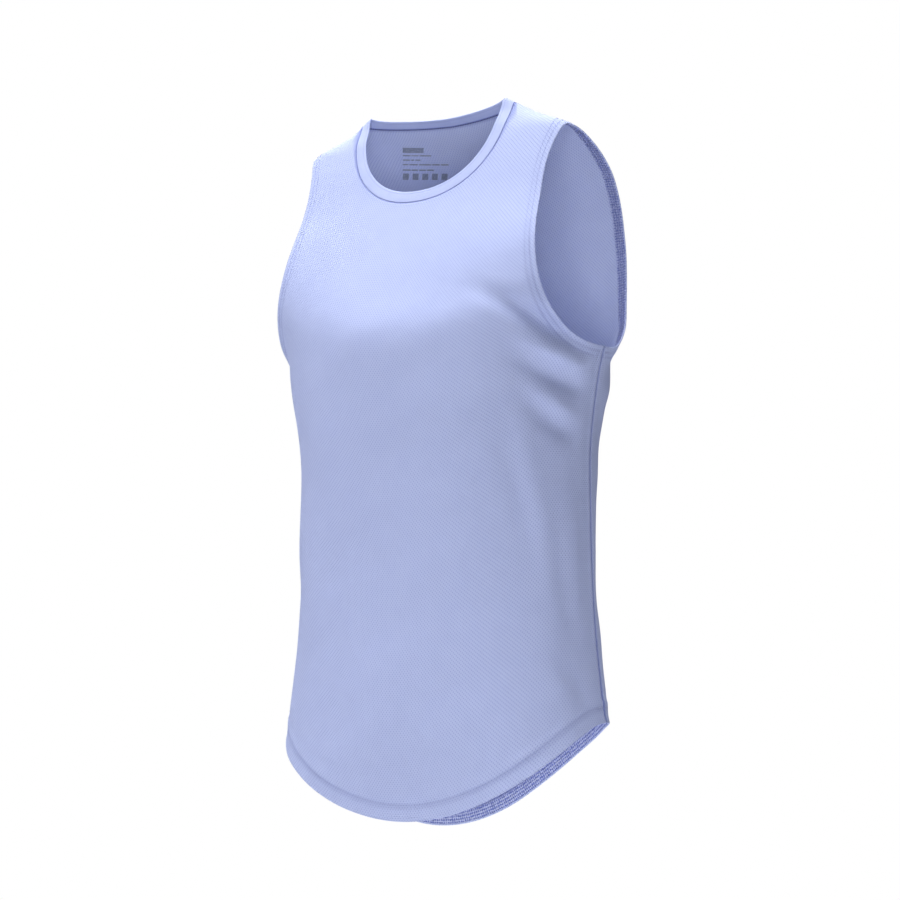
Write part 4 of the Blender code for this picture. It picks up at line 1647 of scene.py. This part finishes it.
def evened(grid: Array, rounds: int, pace: float = 0.7) -> Array:
    """The grid with its inner points drawn toward their neighbours, so that no cell is pinched.

    Each pass is one step toward the map whose rows and columns spread like lines of even flow:
    rows pull as hard as the columns are long, and the other way round, less their slant.

    Args:
        grid: places laid flat.
        rounds: how many passes.
        pace: share of the way moved in a pass.

    Returns:
        The evened grid, with its edges unmoved.
    """
    made = grid.copy()
    for _ in range(rounds):
        middle = made[1:-1, 1:-1]
        before, after = made[1:-1, :-2], made[1:-1, 2:]
        below, above = made[:-2, 1:-1], made[2:, 1:-1]
        along, up = (after - before) / 2, (above - below) / 2
        pairs = ((along, along), (up, up), (along, up))
        length, height, slant = (np.sum(p * q, -1, keepdims=True) for p, q in pairs)
        twist = (made[2:, 2:] - made[2:, :-2] - made[:-2, 2:] + made[:-2, :-2]) / 4
        pulls = height * (after + before) + length * (above + below) - 2 * slant * twist
        wanted = pulls / (2 * (length + height))
        made[1:-1, 1:-1] = middle + pace * (wanted - middle)
    return made


# ---- turned hems ----


@dataclass(frozen=True)
class ArmholePath:
    """Lines round one armhole, at any distance in from its edge.

    Attributes:
        arm: the wearer's arm that it is for.
        rows: places along each of its front and its back.
        reach: places over which a ring is softened.
    """

    arm: Arm
    rows: int = 230
    reach: float = 1.5

    def halves(self, distance: float) -> tuple[Array, Array]:
        """Front line from the shoulder down, and back line from the underarm up."""
        made = []
        for cut in (FRONT_CUT, BACK_CUT):
            line = FORM.inset(cut.side, cut.armhole(even(self.rows)), distance)
            line[:, 0] = np.maximum(line[:, 0], 0)
            line[[0, -1], 0] = 0
            made.append(line if self.arm is Arm.LEFT else mirrored(line))
        return made[0][::-1], made[1]

    def ring(self, distance: float, out: float) -> Array:
        """Points of the cloth all round, moved out of it, down the front first."""
        front, back = self.halves(distance)
        down, up = FRONT_CLOTH.point(front, out), BACK_CLOTH.point(back, out)
        down[-1] = (down[-1] + up[0]) / 2
        down[0] = (down[0] + up[-1]) / 2
        return softened(np.concatenate([down, up[1:-1]]), self.reach, closed=True)


@dataclass(frozen=True)
class TurnedHem:
    """The layer turned in along an edge, seen from inside.

    Attributes:
        name: of the piece.
        node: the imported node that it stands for.
        width: of the whole hem.
        start: distance of its fold from the edge.
        under: how far its outer face lies inside the panel's outer face.
        thickness: of the layer.
        cells: across it.
    """

    name: str
    node: str
    width: float
    start: float = 1.1
    under: float = 0.95
    thickness: float = 0.8
    cells: int = 10

    @property
    def across(self) -> Array:
        """Distances from the fold over the hem."""
        return (self.width - self.start) * even(self.cells)


@dataclass(frozen=True)
class BottomHem(TurnedHem):
    """The turned layer along the front's or back's shirt tail.

    Attributes:
        rows: places along it.
        short: how far it stops short of the side seams, as a share of the edge.
        edge_ease: how quickly its inside rises from its rolled edges.
    """

    width: float = BOTTOM_HEM_WIDTH
    rows: int = 420
    short: float = 0.004
    edge_ease: float = 0.8

    def build(self, cloth: Cloth, material: Material) -> Piece:
        """A closed strip from side seam to side seam."""
        side = cloth.cut.side
        edge = cloth.cut.hem(held_back(even(self.rows), self.short))
        lines = [FORM.inset(side, edge, -distance) for distance in self.start + self.across]
        points = cloth.point(np.stack(lines, 1), FACE - self.under)
        shell = ClothShell(self.thickness, self.thickness / 2, 0.0, 4, self.edge_ease)
        grain = strip_grain(self.across, length_along(points[:, 0]))
        ways = grid_normals(points) * side.value
        skin = shell.build(points, ways, grain, np.zeros(points.shape[:2]))
        return skin.make(self.name, material, "turned_knit", self.node)


@dataclass(frozen=True)
class ArmholeHem(TurnedHem):
    """The turned layer round one armhole, down the front and up the back as a closed ring.

    Attributes:
        body_middle: y of the line that the ring's outer side faces away from.
    """

    width: float = ARMHOLE_HEM_WIDTH
    body_middle: float = 20.0

    def build(self, path: ArmholePath, material: Material) -> Piece:
        """A closed ring of cloth whose section is a flat strip with a point at each edge."""
        distances = self.start + self.across
        outer = np.stack([path.ring(distance, FACE - self.under) for distance in distances], 1)
        ways = grid_normals(np.concatenate([outer[-1:], outer, outer[:1]]))[1:-1]
        from_middle = (outer - [0, self.body_middle, 0]) * [1, 1, 0]
        ways = ways * np.sign(np.sum(from_middle * ways, -1).mean())
        inner = outer - ways * self.thickness
        low, high = (
            (outer[:, [k]] + inner[:, [k]]) / 2
            + unit(outer[:, [k]] - outer[:, [beside]]) * self.thickness / 2
            for k, beside in ((0, 1), (-1, -2))
        )
        section = np.concatenate([low, outer, high, inner[:, ::-1]], 1)
        across = np.concatenate([[0], distances, [self.width], distances[::-1]])
        grain = strip_grain(across, length_along(outer[:, 0]))
        skin = Skin.carried_round(section, grain, np.zeros(section.shape[:2]))
        return skin.make(self.name, material, "turned_knit", self.node)


# ---- neck binding ----


@dataclass(frozen=True)
class NeckBinding:
    """The folded strip round the neck, standing up a little from the panels.

    Attributes:
        name: of the piece.
        node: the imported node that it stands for.
        width: of the strip.
        wall: its thickness at its middle.
        lift: how much it turns up from the line of the panels.
        gap: between it and the panels.
        rows: stations round each of front and back.
        turns: points round its section.
        fold_line: distance of the fine groove from the inner edge.
        groove: its depth.
        square: power of its section, where 2 is an ellipse and more is squarer.
        fine: half width of the groove.
        shades: how deep the seam and the groove look, each with its half width.
        slope_drop: the shoulder seam's slope is read over this much of it.
        shoulder_rows: stations each side of the shoulder that lean to that slope.
        rounding: stations that the directions are averaged over.
    """

    name: str = "neck_strip"
    node: str = "neck_binding"
    width: float = 12.0
    wall: float = 1.5
    lift: float = 0.03
    gap: float = 0.3
    rows: int = 330
    turns: int = 84
    fold_line: float = 2.8
    groove: float = 0.16
    square: float = 6.0
    fine: float = 0.45
    shades: tuple[tuple[float, float], ...] = ((0.8, 0.45), (0.3, 0.5))
    slope_drop: float = 8.0
    shoulder_rows: int = 12
    rounding: float = 5.0

    def seam(self) -> tuple[Array, Array, Array]:
        """The neckline all round, with the way into the neck and the way out of the cloth.

        Front from the wearer's left to right, then back from right to left. At the two high
        shoulder points the way in is the shoulder seam's own slope. The directions are then
        averaged with their neighbours, which rounds them over the shoulders.
        """
        parts = []
        for cloth in CLOTHS:
            line = cloth.cut.neck(even(self.rows))
            out = cloth.normal(line)
            points = cloth.bare(line) + out * cloth.draped(line)[:, None]
            parts.append((points, -FORM.rightward(cloth.cut.side, line), out))
        ring, inward, out = (np.concatenate([a, b[-2:0:-1]]) for a, b in zip(*parts))
        drops = NECK_POINT_DROP + np.array([self.slope_drop, 0.0])
        outer, inner = FORM.point(Side.FRONT, np.zeros(2), -drops)
        slope = unit(inner - outer)
        beside = np.arange(-self.shoulder_rows, self.shoulder_rows + 1)
        share = bell(beside, 0, self.shoulder_rows / 2)[:, None]
        for middle, way in ((0, slope), (self.rows, slope * [-1, 1, 1])):
            rows = (middle + beside) % len(ring)
            inward[rows] = unit(inward[rows] * (1 - share) + way * share)
        inward, out = (softened(ways, self.rounding, closed=True) for ways in (inward, out))
        inward = unit(unit(inward) + [0, 0, self.lift])
        out = unit(out - inward * np.sum(out * inward, -1, keepdims=True))
        return ring, inward, out

    def section(self) -> tuple[Array, Array, Array]:
        """Across and outward sizes round the strip's section, and how deep each point looks.

        A superellipse, nearly a flat strip with rounded edges, less a narrow bell for the groove.
        """
        turn = np.linspace(0, 2 * np.pi, self.turns, endpoint=False)
        cosine, sine = np.cos(turn), np.sin(turn)
        across = self.gap + self.width * (1 - cosine) / 2
        through = np.sign(sine) * np.abs(sine) ** (2 / self.square) * self.wall / 2
        lines = (self.gap, self.gap + self.width - self.fold_line)
        shade = sum(
            deep * bell(across, line, width) for line, (deep, width) in zip(lines, self.shades)
        )
        groove = np.sign(sine) * self.groove * bell(across, lines[1], self.fine)
        return across, through - groove, shade

    def build(self, material: Material) -> Piece:
        """The section carried round the neckline: ring + across * inward + through * outward."""
        ring, inward, out = self.seam()
        across, through, shade = self.section()
        points = ring[:, None] + inward[:, None] * across[:, None] + out[:, None] * through[:, None]
        along = length_along(ring)
        LOG.info("the neckline is %.0f mm round", along[-1])
        shades = np.broadcast_to(shade, points.shape[:2])
        skin = Skin.carried_round(points, strip_grain(across, along), shades)
        return skin.make(self.name, material, "binding", self.node)


# ---- threads ----


@dataclass(frozen=True)
class StitchRun:
    """Lines of needle stitches on the cloth's face, or inside it where they lie below.

    Attributes:
        pitch: from stitch to stitch.
        gap: between two stitches.
        thread: the thread's thickness.
        proud: how far the thread's middle stands out of the cloth's face.
        sink: how far a stitch dips at its ends.
        short: how far a bottom line stops short of the side seams, as a share of the edge.
        clear: places left out at each end of a line that stops at a seam.
    """

    pitch: float = 3.0
    gap: float = 0.5
    thread: Thread = Thread(0.26)
    proud: float = 0.12
    sink: float = 0.25
    short: float = 0.004
    clear: int = 2

    def row(self, cloth: Cloth, line: Array) -> Skin:
        """One line of stitches over places of (angle, z)."""
        points, up = cloth.point(line, FACE + self.proud), cloth.normal(line) * np.sign(self.proud)
        return self.thread.stitches(points, up, self.pitch, self.gap, self.sink)

    def bottom(self, cloth: Cloth) -> Skin:
        """The two lines along a bottom hem."""
        edge = cloth.cut.hem(held_back(even(520), self.short))
        lines = (FORM.inset(cloth.cut.side, edge, -distance) for distance in BOTTOM_EDGE.rows)
        return Skin.joined([self.row(cloth, line) for line in lines])

    def armhole(self, path: ArmholePath) -> Skin:
        """The two lines round an armhole, each on its front and its back."""
        pairs = (zip(CLOTHS, path.halves(distance)) for distance in ARMHOLE_EDGE.rows)
        inner = slice(self.clear, -self.clear)
        return Skin.joined([self.row(cloth, line[inner]) for pair in pairs for cloth, line in pair])

    def neck(self, distance: float) -> Skin:
        """A line on each panel at this distance from the neckline."""
        skins = []
        for cloth in CLOTHS:
            line = FORM.inset(cloth.cut.side, cloth.cut.neck(even(300)), distance)
            skins.append(self.row(cloth, line[self.clear : -self.clear]))
        return Skin.joined(skins)


@dataclass(frozen=True)
class LooperRun:
    """Thread that swings from side to side over the raw edge on the inside of a turned hem.

    Attributes:
        lanes: the two distances from the hem's edge that each thread swings between.
        pitch: along the hem from swing to swing.
        stations: points to a swing.
        depth: of the thread's middle inside the panel's outer face.
        thread: its thickness.
        short: how far a bottom lane stops short of the side seams, as a share of the edge.
        turn: radians that each lane's swing is ahead of the last one's.
    """

    lanes: tuple[tuple[float, float], ...]
    pitch: float = 2.9
    stations: int = 8
    depth: float = 1.9
    thread: Thread = Thread(0.3, 5)
    short: float = 0.006
    turn: float = 2.0

    def lane(self, near: Array, far: Array, up: Array, turn: float, closed: bool) -> Skin:
        """One thread: a sine between two lines of points, with a swing for each pitch.

        Args:
            near: line of points at one distance.
            far: the same places at the other distance.
            up: ways into the garment there.
            turn: start of the sine.
            closed: whether the lines run round and meet themselves.

        Returns:
            The thread's skin.
        """
        length = length_along(near)[-1]
        swings = int(length / self.pitch)
        along = even(swings * self.stations)
        along = along[:-1] if closed else along
        a, b, u = (resampled(near, line, along * length) for line in (near, far, up))
        share = 0.5 + 0.5 * np.sin(2 * np.pi * swings * along + turn)[:, None]
        return self.thread.carried(a * (1 - share) + b * share, unit(u), closed)

    def bottom(self, cloth: Cloth) -> Skin:
        """The lanes along a bottom hem."""
        edge = cloth.cut.hem(held_back(even(500), self.short))
        made = []
        for k, lane in enumerate(self.lanes):
            lines = [FORM.inset(cloth.cut.side, edge, -distance) for distance in lane]
            near, far = (cloth.point(line, FACE - self.depth) for line in lines)
            made.append(self.lane(near, far, -cloth.normal(lines[0]), self.turn * k, False))
        return Skin.joined(made)

    def armhole(self, path: ArmholePath) -> Skin:
        """The lanes round an armhole."""
        made = []
        for k, lane in enumerate(self.lanes):
            near, far = (path.ring(distance, FACE - self.depth) for distance in lane)
            up = near - path.ring(lane[0], FACE)
            near, far, up = (closed_rows(line) for line in (near, far, up))
            made.append(self.lane(near, far, up, self.turn * k, True))
        return Skin.joined(made)


@dataclass(frozen=True)
class PrintedNote:
    """Small print inside the back of the neck: plain bars in rows and five plain squares.

    Attributes:
        name: of the piece.
        corner: x and drop of its first row's start.
        lean: how far each row starts further out, for each mm of drop.
        tilt: how far a row falls for each mm along it.
        rows: each row's drop, height, and its marks' starts and lengths.
        faces: how far the ink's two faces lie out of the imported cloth's middle.
        points: down and along each mark.
    """

    name: str = "care_marks"
    corner: tuple[float, float] = (-72.0, 22.5)
    lean: float = 0.55
    tilt: float = 0.105
    rows: tuple[tuple[float, float, tuple[tuple[float, float], ...]], ...] = (
        (22.5, 4.4, ((0, 24),)),
        (28.9, 0.9, ((0, 9), (10, 8), (19.5, 13.5))),
        (32.7, 1.1, ((0, 8), (9.5, 3.5), (14.5, 6))),
        (36.7, 1.1, ((0, 6), (7.5, 10), (19, 14), (34.5, 9), (45, 9))),
        (41.5, 1.2, ((0, 9), (10.5, 7), (19, 8), (28.5, 8))),
        (45.2, 5.6, ((0, 7), (11.6, 7), (23.2, 7), (34.8, 7), (46.4, 7))),
    )
    faces: tuple[float, float] = (-0.2, -0.33)
    points: tuple[int, int] = (5, 9)

    def mark(self, drop: float, height: float, start: float, length: float) -> Skin:
        """One mark: a thin closed slab that lies on the cloth's inner face."""
        rows, columns = self.points
        along, down = np.meshgrid(start + length * even(columns - 1), height * even(rows - 1))
        x = self.corner[0] - self.lean * (drop - self.corner[1] + down) + along
        z = -(drop + down + self.tilt * along)
        places = np.stack([np.pi - FORM.angle_at(Side.BACK, np.abs(x), z), z], -1)
        layers = [BACK_CLOTH.point(places, out).reshape(-1, 3) for out in self.faces]
        numbers = numbered(*x.shape)
        rim = rim_numbers(numbers)
        band = closed_columns(np.stack([rim, rim + x.size]))
        faces = np.concatenate(
            [cells(numbers), cells(numbers + x.size)[:, ::-1], cells(band)[:, ::-1]]
        )
        grain = np.tile(np.stack([along, down], -1).reshape(-1, 2) * MM, (2, 1))
        return Skin(np.concatenate(layers), faces, grain, np.zeros(2 * x.size)).outward()

    def build(self, material: Material) -> Piece:
        """All the marks as one piece."""
        marks = [self.mark(drop, height, *mark) for drop, height, row in self.rows for mark in row]
        return Skin.joined(marks).make(self.name, material, "knit")


# ---- studio ----


@dataclass(frozen=True)
class Stand:
    """Where a lamp or the camera stands, and what it looks at.

    Attributes:
        azimuth: degrees from straight in front toward the wearer's left.
        elevation: degrees above level, below 0 where it looks up.
        distance: metres from its aim.
        aim: the point that it looks at, in metres.
    """

    azimuth: float
    elevation: float
    distance: float = 3.0
    aim: tuple[float, float, float] = (0.0, 0.0, -0.35)

    def hold(self, name: str, data: bpy.types.ID) -> Piece:
        """Puts a lamp or camera there, turned to its aim."""
        a, e = np.radians([self.azimuth, self.elevation])
        back = Vector((np.sin(a) * np.cos(e), -np.cos(a) * np.cos(e), np.sin(e)))
        made = bpy.data.objects.new(name, data)
        made.location = Vector(self.aim) + back * self.distance
        made.rotation_euler = back.to_track_quat("Z", "Y").to_euler()
        bpy.context.scene.collection.objects.link(made)
        return made


@dataclass(frozen=True)
class Studio:
    """Pale floor, soft light and the camera.

    Attributes:
        view: where the camera stands.
        lens: focal length in mm on a 36 mm frame.
        floor_drop: metres from the shoulders down to the floor.
        floor_size: its width in metres.
        ambient: strength of the light from all round.
        air_colour: of that light.
        lamp_size: width of each lamp's square face, in metres.
        lamps: name, azimuth, elevation and watts of each lamp.
    """

    view: Stand = Stand(35.0, -5.0, 2.5, (0.0051, 0.0156, -0.3428))
    lens: float = 100.0
    floor_drop: float = 1.25
    floor_size: float = 6.0
    ambient: float = 0.05
    air_colour: Sizes = (0.93, 0.95, 1.0, 1.0)
    lamp_size: float = 1.6
    lamps: tuple[tuple[str, float, float, float], ...] = (
        ("over", 0.0, 88.0, 106.0),
        ("high", -50.0, 70.0, 10.0),
        ("key", -50.0, 45.0, 40.0),
        ("low_near", 33.0, -12.0, 36.0),
        ("back_far", -140.0, 20.0, 42.0),
        ("back_high", 180.0, 45.0, 14.0),
    )

    def camera(self) -> None:
        """Sets up the camera at its stand."""
        lens = bpy.data.cameras.new("camera")
        lens.lens, lens.sensor_width = self.lens, 36.0
        bpy.context.scene.camera = self.view.hold("camera", lens)

    def lamp(self, name: str, azimuth: float, elevation: float, power: float) -> None:
        """Adds one large soft lamp, unseen by the camera itself."""
        lamp = bpy.data.lights.new(name, "AREA")
        lamp.shape, lamp.size, lamp.energy = "SQUARE", self.lamp_size, power
        Stand(azimuth, elevation).hold(name, lamp).visible_camera = False

    def floor(self) -> None:
        """A level square floor, as a grid of points."""
        line = np.linspace(-0.5, 0.5, 9) * self.floor_size / MM
        x, y = np.meshgrid(line, line)
        points = np.stack([x, y, np.full_like(x, -self.floor_drop / MM)], -1)
        mesh = bpy.data.meshes.new("floor")
        faces = cells(numbered(*x.shape))
        mesh.from_pydata((points.reshape(-1, 3) * MM).tolist(), [], faces.tolist())
        mesh.materials.append(FLOOR_PAINT.material())
        made = bpy.data.objects.new("floor", mesh)
        bpy.context.scene.collection.objects.link(made)

    def air(self) -> None:
        """White all round to the camera, and a dimmer soft light to everything else."""
        world = bpy.data.worlds.new("studio")
        world.use_nodes = True
        tree = world.node_tree
        glow = tree.nodes["Background"]
        kinds = ("Background", "LightPath", "MixShader")
        seen, ray, mixed = (tree.nodes.new(f"ShaderNode{kind}") for kind in kinds)
        white = (1.0, 1.0, 1.0, 1.0)
        for node, colour, strength in ((glow, self.air_colour, self.ambient), (seen, white, 1.0)):
            node.inputs["Color"].default_value = colour
            node.inputs["Strength"].default_value = strength
        sources = (ray.outputs["Is Camera Ray"], glow.outputs[0], seen.outputs[0])
        for source, socket in zip(sources, mixed.inputs):
            tree.links.new(source, socket)
        tree.links.new(mixed.outputs[0], tree.nodes["World Output"].inputs[0])
        bpy.context.scene.world = world

    def build(self) -> None:
        """Sets up the whole studio, with colours shown as they are."""
        self.camera()
        self.floor()
        self.air()
        for row in self.lamps:
            self.lamp(*row)
        bpy.context.scene.view_settings.view_transform = "Standard"


# ---- the whole garment ----


@dataclass(frozen=True)
class Singlet:
    """The garment, built in the order that it is cut and sewn.

    Attributes:
        flat_front: metres across and up the front laid flat; not used.
        flat_back: the same of the back; not used.
        needle: the stitches of the bottom hems.
        arm_needle: those of the armholes, set a little closer.
        chain: the thick dark chain inside the neck, below its seam.
        chain_line: the chain's distance from the neckline.
        bottom_looper: the looper thread of the bottom hems.
        arm_looper: that of the armholes.
    """

    flat_front: tuple[float, float] = (0.5, 0.735)
    flat_back: tuple[float, float] = (0.5, 0.735)
    needle: StitchRun = StitchRun()
    arm_needle: StitchRun = StitchRun(pitch=2.8)
    chain: StitchRun = StitchRun(pitch=2.2, gap=0.3, thread=Thread(0.6), proud=-1.7, clear=3)
    chain_line: float = 0.9
    bottom_looper: LooperRun = LooperRun(((12.2, 16.4),))
    arm_looper: LooperRun = LooperRun(((2.2, 5.4), (5.4, 8.6), (8.6, 11.8)))

    def build(self) -> None:
        knit, turned = KnitFinish().material(), TurnedFinish().material()
        threads = (HEM_THREAD, LOOPER_THREAD, NECK_THREAD)
        sewn, looped, dark = (finish.material() for finish in threads)
        front = KnitPanel("front_knit", "front_panel", FRONT_CLOTH).build(knit)
        back = KnitPanel("back_knit", "back_panel", BACK_CLOTH).build(knit)
        halves = ((FRONT_CLOTH, "front", []), (BACK_CLOTH, "back", []))
        for cloth, name, pieces in halves:
            hem = BottomHem(f"{name}_turned_hem", f"{name}_bottom_hem").build(cloth, turned)
            lines = self.needle.bottom(cloth).make(f"{name}_hem_stitches", sewn, "knit")
            pieces += [hem, lines]
        with_front, with_back = (pieces for _, _, pieces in halves)
        with_back.append(PrintedNote().build(WORN_INK.material()))
        for cloth, name, pieces in halves:
            lanes = self.bottom_looper.bottom(cloth)
            pieces.append(lanes.make(f"{name}_hem_looper", looped, "turned_knit"))
        for arm in Arm:
            path, name = ArmholePath(arm), arm.value
            hem = ArmholeHem(f"armhole_turned_{name}", f"armhole_hem_{name}").build(path, turned)
            lines = self.arm_needle.armhole(path).make(f"armhole_stitches_{name}", sewn, "knit")
            lanes = self.arm_looper.armhole(path)
            lanes = lanes.make(f"armhole_looper_{name}", looped, "turned_knit")
            with_front += [hem, lines, lanes]
        binding = NeckBinding().build(RibFinish().material())
        with_front.append(self.chain.neck(self.chain_line).make("neck_stitches", dark, "knit"))
        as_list(with_front)
        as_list(with_back)


def main() -> None:
    """Builds the garment and its studio."""
    logging.basicConfig(level=logging.INFO, format="%(name)s %(message)s")
    Singlet().build()
    Studio().build()


if __name__ == "__main__":
    main()
